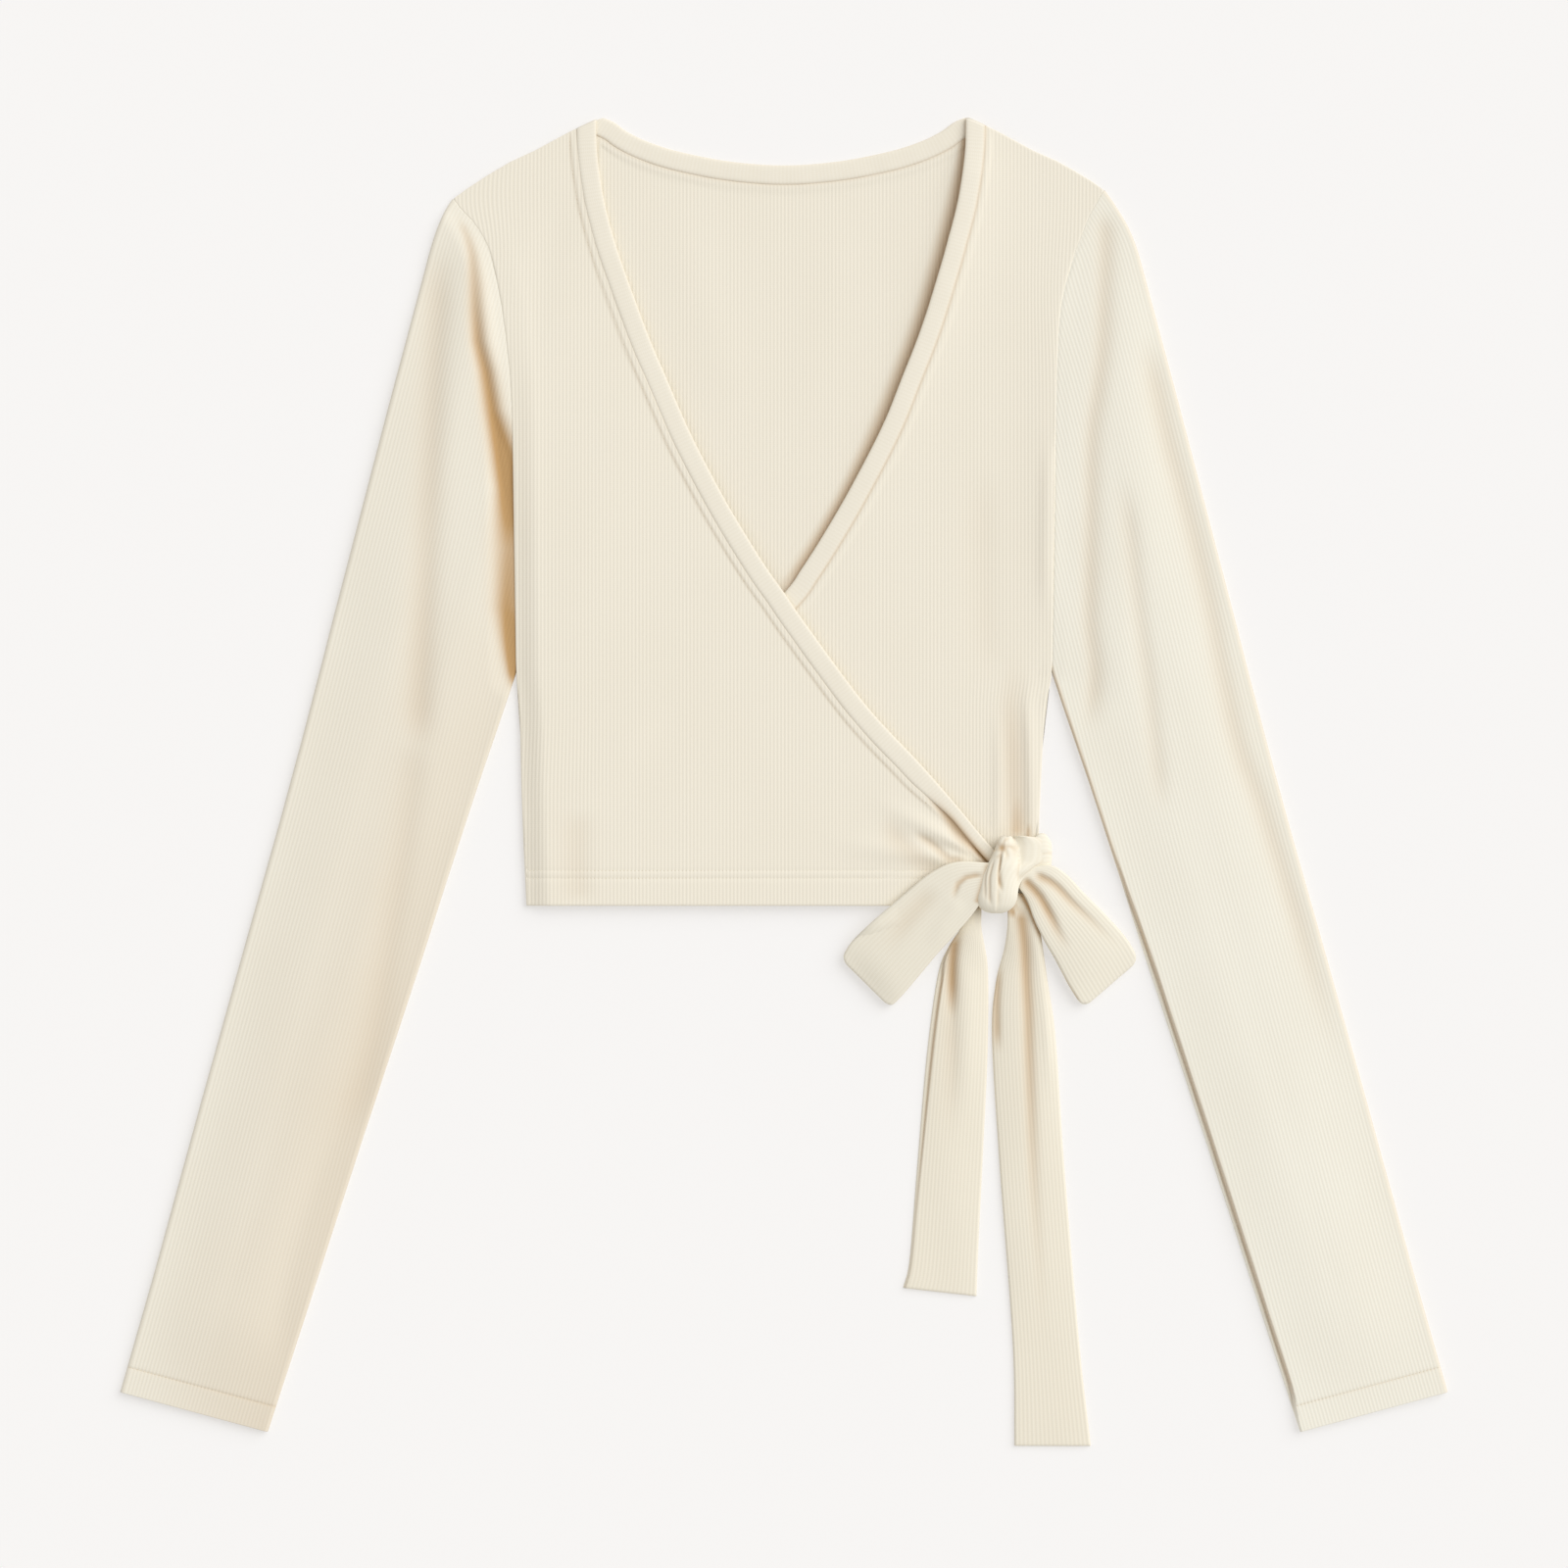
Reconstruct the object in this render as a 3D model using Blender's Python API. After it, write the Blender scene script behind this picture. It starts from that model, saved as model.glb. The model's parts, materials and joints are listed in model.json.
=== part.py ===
"""Wrap top in rib jersey, laid flat on a table with its bow tied at the waist.

The neck points to +Y, the floor is the XY plane and +Z is up.  Sizes are in
millimetres and become metres when a mesh is made.  Left and right are as seen
from above.  Each cut piece is a closed wall of cloth: its outer side carries
the raised ribs, its inner side is plain, and the side on the floor is flat.
"""

import math
from collections import namedtuple

import bpy
import numpy as np

MM = 0.001
ORIGIN_Y = 1.0           # the origin lies this far up the drawing that the tables use

# Cloth
CLOTH = 1.1              # wall of the jersey between two ribs
RIB_PITCH = 2.0          # from one rib to the next
RIB_RAISE = 0.35         # a rib above the cloth beside it
WALL = CLOTH + RIB_RAISE
GAP = 0.3                # between pieces that touch or are sewn together
BAND_WIDTH = 11.0        # finished neckband
BAND_THICK = 2.4         # neckband, folded double
BAND_TURN_DEG = 2.5      # a neckband has a section where it has turned this far
BAND_SHORT = 6.0         # and at least this far from the last one
BAND_REACH = 34.0        # or where it has run straight this far

# Section of a neckband: from its seam along the underside to the free edge,
# then back over the top.  Height is a part of the band's thickness.
BandRow = namedtuple("BandRow", "across height")
BAND_SECTION = (
    BandRow(BAND_WIDTH - GAP, 0.0), BandRow(5.5, 0.0), BandRow(1.2, 0.0), BandRow(0.0, 0.5),
    BandRow(0.0, 0.75), BandRow(1.2, 1.0), BandRow(5.5, 1.0), BandRow(BAND_WIDTH - GAP, 0.8),
)
TIE_THICK = 2.2          # ties, folded double
HEM_DEPTH = 17.0         # turned hem of the body
HEM_EXTRA = 0.4          # the turned edge stands this much over the cloth above it
CUFF_DEPTH = 14.5        # turned hem of the sleeve

BACK_RIBBED = 100.4      # half width of the back that is ribbed, inside the opening
BACK_PLAIN = (103.0, 112.5, 127.0, 140.4)    # half widths where its plain sides have columns
RIBBED_UNDER = 12.0      # the ribs run on this far under a front's neck edge
RIBBED_LEAST = 14.0      # and are at least this long below the back neckband
SHOULDER_TIP = 175.8     # half width of the panels at their shoulder tips
OUTLINE_STRAY = 0.12     # how far a plain side may stray from a curved outline
HEIGHT_STRAY = 0.25      # and from the height of the ribbed side
OVER_ROWS = (0.0, 0.22, 0.46, 0.72, 1.0)    # rows of a front above its hem line
UNDER_ROWS = (0.0, 0.2, 0.55, 1.0)

# Layers, from the floor up: underside of each panel where it lies flat
UNDER_LEVEL = WALL + GAP
OVER_LEVEL = 5.0
TUCKED_LEFT_END = -130.0   # where the under front ends inside the wrap
HIDDEN_COLUMNS = 10        # columns of its hidden stretch

# Body
HEM_Y = -67.0
SEAM_RISE_REACH = 15.0   # how far the lift at the armhole reaches into a front
SIDE_ROLL = 14.0         # how far from its side seam the over front comes down
NECK_LIFT_REACH = 16.0   # how far the lift of the neck edge reaches into a front

# Half outline of the body, from hem to shoulder tip: side seam, then armhole.
EdgeRow = namedtuple("EdgeRow", "half_width y")
SIDE_AND_ARMHOLE = (
    EdgeRow(140.5, -67.0), EdgeRow(142.2, -30.0), EdgeRow(143.4, 0.0),
    EdgeRow(144.2, 16.0), EdgeRow(145.6, 40.0), EdgeRow(147.5, 60.0),
    EdgeRow(148.5, 130.0), EdgeRow(149.5, 200.0), EdgeRow(150.5, 227.0),
    EdgeRow(152.3, 248.0), EdgeRow(154.5, 264.0), EdgeRow(157.5, 278.0),
    EdgeRow(161.0, 292.0), EdgeRow(164.5, 302.0), EdgeRow(168.5, 313.0),
    EdgeRow(176.0, 326.5),
)
UNDERARM = SIDE_AND_ARMHOLE[5]

# Shoulder line, from the neck to the shoulder tip.
SHOULDER = (
    EdgeRow(102.0, 366.5), EdgeRow(118.0, 359.0), EdgeRow(137.5, 348.5),
    EdgeRow(150.0, 343.0), EdgeRow(160.0, 337.5), EdgeRow(169.0, 332.0),
    EdgeRow(176.0, 327.0),
)

# Upper edge of the back neckband, and where its seam meets the shoulder line.
BACK_NECK = (
    EdgeRow(0.0, 340.7), EdgeRow(30.0, 342.9), EdgeRow(58.0, 348.3),
    EdgeRow(75.0, 353.7), EdgeRow(86.0, 359.0), EdgeRow(93.0, 364.0),
    EdgeRow(98.0, 366.3), EdgeRow(101.0, 366.5),
)
BACK_NECK_SHOULDER = EdgeRow(112.5, 361.5)

# Free edge of a front's neckband, from the shoulder to where the fronts cross.
NECKLINE = (
    EdgeRow(102.4, 366.0), EdgeRow(101.8, 350.0), EdgeRow(99.8, 334.0),
    EdgeRow(96.7, 317.0), EdgeRow(90.7, 295.0), EdgeRow(83.3, 273.0),
    EdgeRow(74.2, 248.4), EdgeRow(64.9, 226.3), EdgeRow(51.4, 194.4),
    EdgeRow(34.8, 162.0), EdgeRow(22.6, 140.4), EdgeRow(9.4, 118.8),
    EdgeRow(0.0, 105.3),
)
# Below the crossing the edges run on: one to the knot, one inside to the side.
PointRow = namedtuple("PointRow", "x y")
OVER_EDGE_END = (
    PointRow(13.0, 86.4), PointRow(45.1, 43.2), PointRow(75.1, 10.8),
    PointRow(94.5, -8.1), PointRow(106.5, -20.5), PointRow(113.0, -29.0),
)
UNDER_EDGE_END = (
    PointRow(-30.0, 74.5), PointRow(-62.0, 43.0), PointRow(-105.0, 0.5),
    PointRow(TUCKED_LEFT_END, -24.5),
)
# Lower edge of the over front, past the straight hem and up to the knot.
OVER_TIP = (
    PointRow(60.0, HEM_Y), PointRow(80.0, -64.5), PointRow(93.0, -59.0),
    PointRow(103.0, -53.0), PointRow(109.4, -48.5),
)

# Height of the underside of a front at its armhole seam, over the floor.
SeamRow = namedtuple("SeamRow", "y left right")
ARMHOLE_LIFT = (
    SeamRow(60.0, 1.75, 1.75), SeamRow(90.0, 1.75, 2.5),
    SeamRow(150.0, 1.75, 3.3), SeamRow(230.0, 1.75, 2.9),
    SeamRow(290.0, 1.75, 2.1), SeamRow(327.0, 1.75, 1.75),
)

# Lift of the under front's neck edge off the back, by height on the garment.
LiftRow = namedtuple("LiftRow", "y lift")
NECK_LIFT = (
    LiftRow(105.0, 0.0), LiftRow(140.0, 0.8), LiftRow(200.0, 2.2),
    LiftRow(270.0, 3.3), LiftRow(340.0, 3.3), LiftRow(366.0, 1.0),
)

# Gathers drawn into the knot: direction from the knot, reach, height, width.
GatherRow = namedtuple("GatherRow", "angle_deg reach height width")
GATHERS = (
    GatherRow(132.0, 66.0, 2.4, 3.0), GatherRow(142.0, 56.0, -1.1, 2.4),
    GatherRow(152.0, 84.0, 2.6, 4.0), GatherRow(163.0, 56.0, -1.0, 3.0),
    GatherRow(173.0, 104.0, 2.2, 5.0), GatherRow(185.0, 60.0, -0.7, 3.6),
)
GATHER_CENTRE = PointRow(116.0, -44.0)

# Ridges that the strap draws up in the under front, above the knot.
PullRow = namedtuple("PullRow", "x height width")
PULLS = (PullRow(121.0, 1.3, 5.0), PullRow(136.5, 1.0, 3.0))
PULL_START_Y = -30.0
PULL_END_Y = 75.0

# Sleeve: its own frame leans from the body.  u runs across, v up the sleeve.
SLEEVE_LEAN_DEG = 15.1
CUFF_V = -418.2
CUFF_HEIGHT = 4.2        # outside height of the flattened cuff
SLEEVE_HEIGHT = 6.0      # outside height along its middle
SLEEVE_EDGE = 4.6        # outside height beside its folded edges
FOLD_REACH = 2.3         # how far a folded edge takes to round over
SleeveRow = namedtuple("SleeveRow", "v inner_u outer_u")
SLEEVE_EDGES = (
    SleeveRow(-418.2, 181.4, 265.6), SleeveRow(-350.0, 177.9, 264.6),
    SleeveRow(-300.0, 175.5, 264.4), SleeveRow(-250.0, 173.0, 264.2),
    SleeveRow(-150.0, 167.5, 263.3), SleeveRow(-95.0, 165.0, 262.6),
    SleeveRow(-44.0, 162.3, 262.6), SleeveRow(0.0, 159.4, 263.0),
    SleeveRow(19.0, 158.4, 263.3), SleeveRow(150.0, 158.4, 264.4),
    SleeveRow(230.0, 158.4, 264.7), SleeveRow(245.0, 158.4, 264.4),
    SleeveRow(257.0, 158.4, 260.2), SleeveRow(263.0, 158.4, 258.4),
    SleeveRow(270.0, 158.4, 255.6),
)
SLEEVE_ROWS = (0.0, 0.17, 0.38, 0.57, 0.75, 0.90, 1.0)    # above the cuff's hem line
SLEEVE_RIBS = 48
SLEEVE_FLOOR_POINTS = 5
SLEEVE_PLAIN_POINTS = 13

# Creases of the sleeves: across is 0 at the inner edge and 1 at the outer one.
CreaseRow = namedtuple("CreaseRow", "side v_low across_low v_high across_high depth width")
CREASES = (
    CreaseRow("left", 10.0, 0.49, 245.0, 0.93, 1.1, 0.060),
    CreaseRow("left", -130.0, 0.25, 10.0, 0.49, 1.3, 0.070),
    CreaseRow("left", -390.0, 0.14, -130.0, 0.22, 1.0, 0.060),
    CreaseRow("right", 60.0, 0.28, 250.0, 0.90, 1.5, 0.060),
    CreaseRow("right", 75.0, 0.89, 165.0, 0.90, 0.8, 0.040),
    CreaseRow("right", -60.0, 0.30, 5.0, 0.36, 0.9, 0.050),
    CreaseRow("right", -340.0, 0.93, -20.0, 0.83, 1.0, 0.045),
)
SLEEVE_VALLEY_REACH = 20.0   # from the armhole seam up onto the sleeve

# Knot: stations from its top end to its lower end.
KnotRow = namedtuple("KnotRow", "y centre_x half_width half_height")
KNOT = (
    KnotRow(-27.6, 119.6, 3.0, 3.0), KnotRow(-29.2, 119.5, 5.2, 5.2),
    KnotRow(-33.0, 119.2, 6.6, 7.2), KnotRow(-40.0, 119.6, 6.9, 8.2),
    KnotRow(-48.0, 118.9, 8.0, 8.4), KnotRow(-55.0, 118.1, 9.5, 8.4),
    KnotRow(-61.5, 117.4, 10.8, 8.2), KnotRow(-66.5, 116.5, 10.4, 7.0),
    KnotRow(-69.6, 116.0, 8.2, 5.0), KnotRow(-70.8, 115.8, 5.4, 3.0),
)
KNOT_SIDES = 32
KNOT_PLEATS = 8
KNOT_PLEAT_DEPTH = 0.55
KNOT_FLOOR = UNDER_LEVEL + WALL + HEM_EXTRA + GAP
KNOT_MIDDLE = KNOT_FLOOR + KNOT[4].half_height + KNOT_PLEAT_DEPTH

# Bow loops: the two long edges of each, from the knot outwards.
LoopRow = namedtuple("LoopRow", "upper_x upper_y lower_x lower_y")
LOOP_LEFT = (
    LoopRow(110.9, -43.0, 104.2, -65.0), LoopRow(94.5, -42.7, 101.8, -73.5),
    LoopRow(80.0, -49.0, 93.5, -83.0), LoopRow(64.8, -61.6, 84.0, -93.5),
    LoopRow(48.5, -75.5, 74.5, -105.0), LoopRow(37.0, -87.0, 65.0, -116.3),
    LoopRow(31.2, -97.0, 58.0, -123.4),
)
LOOP_RIGHT = (
    LoopRow(128.2, -46.0, 129.3, -57.0), LoopRow(145.8, -44.5, 133.5, -64.0),
    LoopRow(155.0, -49.5, 137.5, -75.0), LoopRow(165.0, -60.0, 143.0, -86.0),
    LoopRow(176.0, -71.0, 149.5, -97.0), LoopRow(188.0, -84.5, 156.5, -110.5),
    LoopRow(195.8, -97.5, 165.0, -124.0),
)
LOOP_HEIGHT = 7.6
LOOP_LEFT_LEVEL = 7.5     # underside over the gathered front
LOOP_RIGHT_LEVEL = 6.5    # underside over the strap
LOOP_DROP_START = 10.0    # past the edge of the body
LOOP_DROP_LENGTH = 18.0
LOOP_LENGTH = 95.0
LOOP_TOP_ROWS = (0.0, 0.16, 0.36, 0.62, 0.94)      # places along it, up to the outer end
LOOP_FLOOR_ROWS = (0.0, 0.24, 0.46, 0.68, 0.94)
LOOP_END = 0.994          # where the outer end turns back
TIE_RIBS = 18
TIE_PLAIN_POINTS = 9

# Soft troughs of the ties: place across the tie, where it fades, depth, width.
TroughRow = namedtuple("TroughRow", "across start end depth width")
LOOP_LEFT_TROUGHS = (TroughRow(0.62, 0.0, 0.55, 1.5, 0.12), TroughRow(0.30, 0.0, 0.95, 0.8, 0.16))
LOOP_RIGHT_TROUGHS = (TroughRow(0.24, 0.0, 0.75, 1.6, 0.10), TroughRow(0.62, 0.0, 0.50, 1.3, 0.10))
TAIL_LEFT_TROUGHS = (TroughRow(0.34, 0.0, 0.70, 2.2, 0.14),)
TAIL_RIGHT_TROUGHS = (TroughRow(0.52, 0.0, 0.80, 2.4, 0.11),)
TAIL_ARCH = 2.4           # a tail stands this far off the floor near the knot

# Tails: left and right edge of each, downwards from the knot.
TailRow = namedtuple("TailRow", "y left_x right_x")
TAIL_LEFT = (
    TailRow(-63.0, 100.5, 105.5), TailRow(-69.0, 99.3, 107.2),
    TailRow(-79.0, 97.2, 108.6), TailRow(-89.0, 91.0, 110.4),
    TailRow(-105.0, 84.8, 112.4), TailRow(-150.0, 78.6, 112.0),
    TailRow(-210.6, 73.4, 109.2), TailRow(-277.5, 67.4, 105.8),
)
TAIL_RIGHT = (
    TailRow(-64.5, 129.5, 133.5), TailRow(-71.2, 124.0, 134.6),
    TailRow(-80.0, 123.2, 138.2), TailRow(-91.8, 121.0, 141.5),
    TailRow(-110.0, 116.6, 145.4), TailRow(-140.0, 114.6, 149.6),
    TailRow(-210.6, 118.8, 154.4), TailRow(-307.8, 126.0, 162.6),
    TailRow(-364.5, 127.0, 169.0),
)
TAIL_LEVEL = UNDER_LEVEL + WALL + HEM_EXTRA + GAP
TAIL_DROP_START = 2.5
TAIL_DROP_LENGTH = 15.0

# Waist strap: from the knot over the side seam and down beside the body.
StrapRow = namedtuple("StrapRow", "x z upper_y lower_y")
STRAP = (
    StrapRow(126.6, 4.9, -29.5, -45.5), StrapRow(131.0, 4.9, -28.6, -48.5),
    StrapRow(135.5, 4.9, -30.6, -49.0), StrapRow(140.0, 4.9, -27.0, -48.0),
    StrapRow(143.6, 4.7, -28.2, -46.8), StrapRow(145.3, 3.6, -30.6, -45.8),
    StrapRow(145.5, 1.6, -31.5, -45.4),
)
# Section of the strap: part of the way down its width, and of its thickness.
StrapPoint = namedtuple("StrapPoint", "down out")
STRAP_SECTION = (
    StrapPoint(0.0, -0.5), StrapPoint(0.0, 0.5), StrapPoint(0.25, 0.5), StrapPoint(0.5, 0.5),
    StrapPoint(0.75, 0.5), StrapPoint(1.0, 0.5), StrapPoint(1.0, -0.5), StrapPoint(0.5, -0.5),
)

CREAM = (0.840, 0.780, 0.651)
INSIDE_CREAM = (0.840, 0.780, 0.665)
ROUGHNESS = 0.92


# ---------------------------------------------------------------- arithmetic

def clamp01(value):
    """Value held between 0 and 1."""
    return np.clip(value, 0.0, 1.0)


def ease(value):
    """Smooth step from 0 to 1."""
    part = clamp01(value)
    return part * part * (3.0 - 2.0 * part)


def column_of(rows, name):
    """One named column of a table, as an array."""
    return np.array([getattr(row, name) for row in rows], dtype=float)


def lookup(rows, key, value, at):
    """Straight-line reading of a table whose key column rises or falls."""
    keys = column_of(rows, key)
    values = column_of(rows, value)
    if keys[0] > keys[-1]:
        keys, values = keys[::-1], values[::-1]
    return np.interp(at, keys, values)


def smooth_path(points, step):
    """Evenly spaced points along a smooth curve through the given points."""
    points = np.asarray(points, dtype=float)
    before = 2.0 * points[0] - points[1]
    after = 2.0 * points[-1] - points[-2]
    knots = np.vstack([before, points, after])
    dense = []
    for index in range(1, len(knots) - 2):
        start, end = knots[index], knots[index + 1]
        leave = 0.5 * (end - knots[index - 1])
        arrive = 0.5 * (knots[index + 2] - start)
        for part in np.linspace(0.0, 1.0, 12, endpoint=False):
            square, cube = part * part, part * part * part
            dense.append((2 * cube - 3 * square + 1) * start
                         + (cube - 2 * square + part) * leave
                         + (3 * square - 2 * cube) * end
                         + (cube - square) * arrive)
    dense = np.vstack([dense, points[-1]])
    lengths = np.concatenate([[0.0], np.cumsum(np.linalg.norm(np.diff(dense, axis=0), axis=1))])
    count = max(2, int(round(lengths[-1] / step)) + 1)
    at = np.linspace(0.0, lengths[-1], count)
    return np.column_stack([np.interp(at, lengths, dense[:, k]) for k in range(dense.shape[1])])


def left_normals(path):
    """Unit vectors across a path in plan, to the left of its direction."""
    tangent = np.gradient(path, axis=0)
    tangent /= np.linalg.norm(tangent, axis=1)[:, None]
    return np.column_stack([-tangent[:, 1], tangent[:, 0]])


def distance_to_path(x, y, path):
    """Distance in plan from each point to the nearest point of a path."""
    flat_x, flat_y = np.ravel(x), np.ravel(y)
    gaps = np.hypot(flat_x[:, None] - path[None, :, 0], flat_y[:, None] - path[None, :, 1])
    return gaps.min(axis=1).reshape(np.shape(x))


# ------------------------------------------------------------- closed solids

class Solid:
    """Points and triangles of one closed piece, in millimetres."""

    def __init__(self):
        self.points = []
        self.triangles = []

    def add_points(self, block):
        """Store a block of points and return their numbers in the same shape."""
        block = np.asarray(block, dtype=float)
        first = len(self.points)
        self.points.extend(block.reshape(-1, 3).tolist())
        return np.arange(first, len(self.points)).reshape(block.shape[:-1])

    def add_grid(self, numbers, flip=False):
        """Fill a grid of point numbers with triangles."""
        for low, high in zip(numbers[:-1], numbers[1:]):
            for a, b, c, d in zip(low[:-1], high[:-1], high[1:], low[1:]):
                self.add_triangle(a, b, c, flip)
                self.add_triangle(a, c, d, flip)

    def add_triangle(self, a, b, c, flip=False):
        """Store one triangle unless two of its corners are the same."""
        if len({a, b, c}) == 3:
            self.triangles.append((a, c, b) if flip else (a, b, c))

    def add_seam(self, line_a, line_b, flip=False, by_x=False):
        """Join two lines of points that run the same way, whatever their counts."""
        part_a, part_b = self.line_parts(line_a, by_x), self.line_parts(line_b, by_x)
        i = j = 0
        while i < len(line_a) - 1 or j < len(line_b) - 1:
            next_a = part_a[i + 1] if i < len(line_a) - 1 else math.inf
            next_b = part_b[j + 1] if j < len(line_b) - 1 else math.inf
            if next_a <= next_b:
                self.add_triangle(line_a[i], line_a[i + 1], line_b[j], flip)
                i += 1
            else:
                self.add_triangle(line_a[i], line_b[j + 1], line_b[j], flip)
                j += 1

    def line_parts(self, line, by_x):
        """Place of each point along its line, from 0 to 1, by length or by x."""
        points = np.array([self.points[k] for k in line])
        steps = np.linalg.norm(np.diff(points, axis=0)[:, :1 if by_x else 3], axis=1)
        total = np.concatenate([[0.0], np.cumsum(steps)])
        return total / max(total[-1], 1e-9)

    def add_cap(self, ring, flip=False):
        """Close a ring of points with a fan round its middle."""
        middle = np.mean([self.points[k] for k in ring], axis=0)
        centre = int(self.add_points([middle])[0])
        for a, b in zip(ring, np.roll(ring, -1)):
            self.add_triangle(int(a), int(b), centre, flip)

    def volume(self):
        """Enclosed volume, negative where the faces point inwards."""
        corners = np.array(self.points)[np.array(self.triangles)]
        return float(np.einsum("ij,ij->i", corners[:, 0],
                               np.cross(corners[:, 1], corners[:, 2])).sum()) / 6.0

    def make(self, name, colour):
        """Turn the piece into a named object with its own cloth material."""
        mesh = bpy.data.meshes.new(name)
        corners = [(x * MM, (y - ORIGIN_Y) * MM, z * MM) for x, y, z in self.points]
        mesh.from_pydata(corners, [], [tuple(int(k) for k in t) for t in self.triangles])
        if self.volume() < 0.0:
            mesh.flip_normals()
        mesh.shade_smooth()
        mesh.materials.append(jersey(name, colour))
        item = bpy.data.objects.new(name, mesh)
        bpy.context.scene.collection.objects.link(item)
        return item


def jersey(name, colour):
    """Matt cotton rib jersey."""
    material = bpy.data.materials.new("jersey_" + name)
    material.use_nodes = True
    shader = material.node_tree.nodes["Principled BSDF"]
    shader.inputs["Base Color"].default_value = (*colour, 1.0)
    shader.inputs["Roughness"].default_value = ROUGHNESS
    shader.inputs["Metallic"].default_value = 0.0
    return material


def sheet_solid(outer, inner):
    """Closed wall between two grids of points that share their outline."""
    solid = Solid()
    top, under = solid.add_points(outer), solid.add_points(inner)
    solid.add_grid(top)
    solid.add_grid(under, flip=True)
    solid.add_seam(top[0, :], under[0, :])
    solid.add_seam(top[-1, :], under[-1, :], flip=True)
    solid.add_seam(top[:, 0], under[:, 0], flip=True)
    solid.add_seam(top[:, -1], under[:, -1])
    return solid


def tube_solid(outer, inner, outer_corners, inner_corners):
    """Closed wall of an open tube; rows are rings, joined at four corners."""
    solid = Solid()
    outside, inside = solid.add_points(outer), solid.add_points(inner)
    ring_out = np.hstack([outside, outside[:, :1]])
    ring_in = np.hstack([inside, inside[:, :1]])
    solid.add_grid(ring_out)
    solid.add_grid(ring_in, flip=True)
    out_stops = list(outer_corners) + [ring_out.shape[1] - 1]
    in_stops = list(inner_corners) + [ring_in.shape[1] - 1]
    for end, flip in ((0, False), (-1, True)):
        for k in range(len(outer_corners)):
            solid.add_seam(ring_out[end, out_stops[k]:out_stops[k + 1] + 1],
                           ring_in[end, in_stops[k]:in_stops[k + 1] + 1], flip)
    return solid


def loft_solid(rings):
    """Closed bar through rings of points, with both ends closed."""
    solid = Solid()
    numbers = solid.add_points(rings)
    solid.add_grid(np.hstack([numbers, numbers[:, :1]]))
    solid.add_cap(numbers[0])
    solid.add_cap(numbers[-1], flip=True)
    return solid


# ------------------------------------------------------------ outline curves

def over_edge():
    """Free edge of the over front's neckband, shoulder to knot."""
    down = [(-row.half_width, row.y) for row in NECKLINE]
    return smooth_path(down + [tuple(row) for row in OVER_EDGE_END], 2.0)


def under_edge():
    """Free edge of the under front's neckband, shoulder to its hidden end."""
    down = [(row.half_width, row.y) for row in NECKLINE]
    return smooth_path(down + [tuple(row) for row in UNDER_EDGE_END], 2.0)


def back_edge():
    """Upper edge of the back neckband, left to right."""
    left = [(-row.half_width, row.y) for row in BACK_NECK[::-1]]
    return smooth_path(left + [tuple(row) for row in BACK_NECK[1:]], 2.0)


OVER_EDGE = over_edge()
UNDER_EDGE = under_edge()
BACK_EDGE = back_edge()
OVER_SEAM = OVER_EDGE - BAND_WIDTH * left_normals(OVER_EDGE)
UNDER_SEAM = UNDER_EDGE + BAND_WIDTH * left_normals(UNDER_EDGE)
BACK_SEAM = np.vstack([BACK_EDGE - BAND_WIDTH * left_normals(BACK_EDGE), BACK_NECK_SHOULDER])


def body_low(x):
    """Lower outline of the body: hem, side seam or armhole."""
    return lookup(SIDE_AND_ARMHOLE, "half_width", "y", np.abs(x))


def shoulder(x):
    """Shoulder line."""
    return lookup(SHOULDER, "half_width", "y", np.abs(x))


def seam_height(x, seam):
    """Height of a neck seam over the hem side, by x."""
    order = np.argsort(seam[:, 0])
    return np.interp(x, seam[order, 0], seam[order, 1])


def over_low(x):
    """Lower outline of the over front."""
    tip = lookup(OVER_TIP, "x", "y", x)
    return np.where(x > OVER_TIP[0].x, tip, body_low(x))


def over_high(x):
    """Upper outline of the over front: shoulder, then neck seam."""
    return np.minimum(shoulder(x), seam_height(x, OVER_SEAM))


def under_high(x):
    """Upper outline of the under front: shoulder, then neck seam."""
    return np.minimum(shoulder(x), seam_height(x, UNDER_SEAM))


def back_high(x):
    """Upper outline of the back: neck seam, then shoulder."""
    return np.minimum(shoulder(x), seam_height(np.abs(x), BACK_SEAM) - GAP)


# ----------------------------------------------------------- layer heights

def edge_distance(x, y):
    """Distance in plan from the side seam or armhole on the nearer side."""
    across = np.interp(y, column_of(SIDE_AND_ARMHOLE, "y"), column_of(SIDE_AND_ARMHOLE, "half_width"))
    return np.maximum(across - np.abs(x), 0.0)


def under_base(x, y):
    """Underside of the under front and its band."""
    rise = lookup(ARMHOLE_LIFT, "y", "right", y) - UNDER_LEVEL
    at_armhole = rise * np.exp(-(edge_distance(x, y) / SEAM_RISE_REACH) ** 2) * (x > 0)
    off_neck = distance_to_path(x, y, UNDER_EDGE) / NECK_LIFT_REACH
    at_neck = lookup(NECK_LIFT, "y", "lift", y) * np.exp(-off_neck ** 2)
    return UNDER_LEVEL + at_armhole + at_neck * (x > 0)


def over_base(x, y):
    """Underside of the over front and its band."""
    raised = (OVER_LEVEL - UNDER_LEVEL) * ease((330.0 - y) / 215.0)
    rolled = ease((edge_distance(x, y) + 0.5) / SIDE_ROLL)
    on_right = (x > 0).astype(float)
    return UNDER_LEVEL + raised * np.maximum(rolled, on_right)


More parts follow.
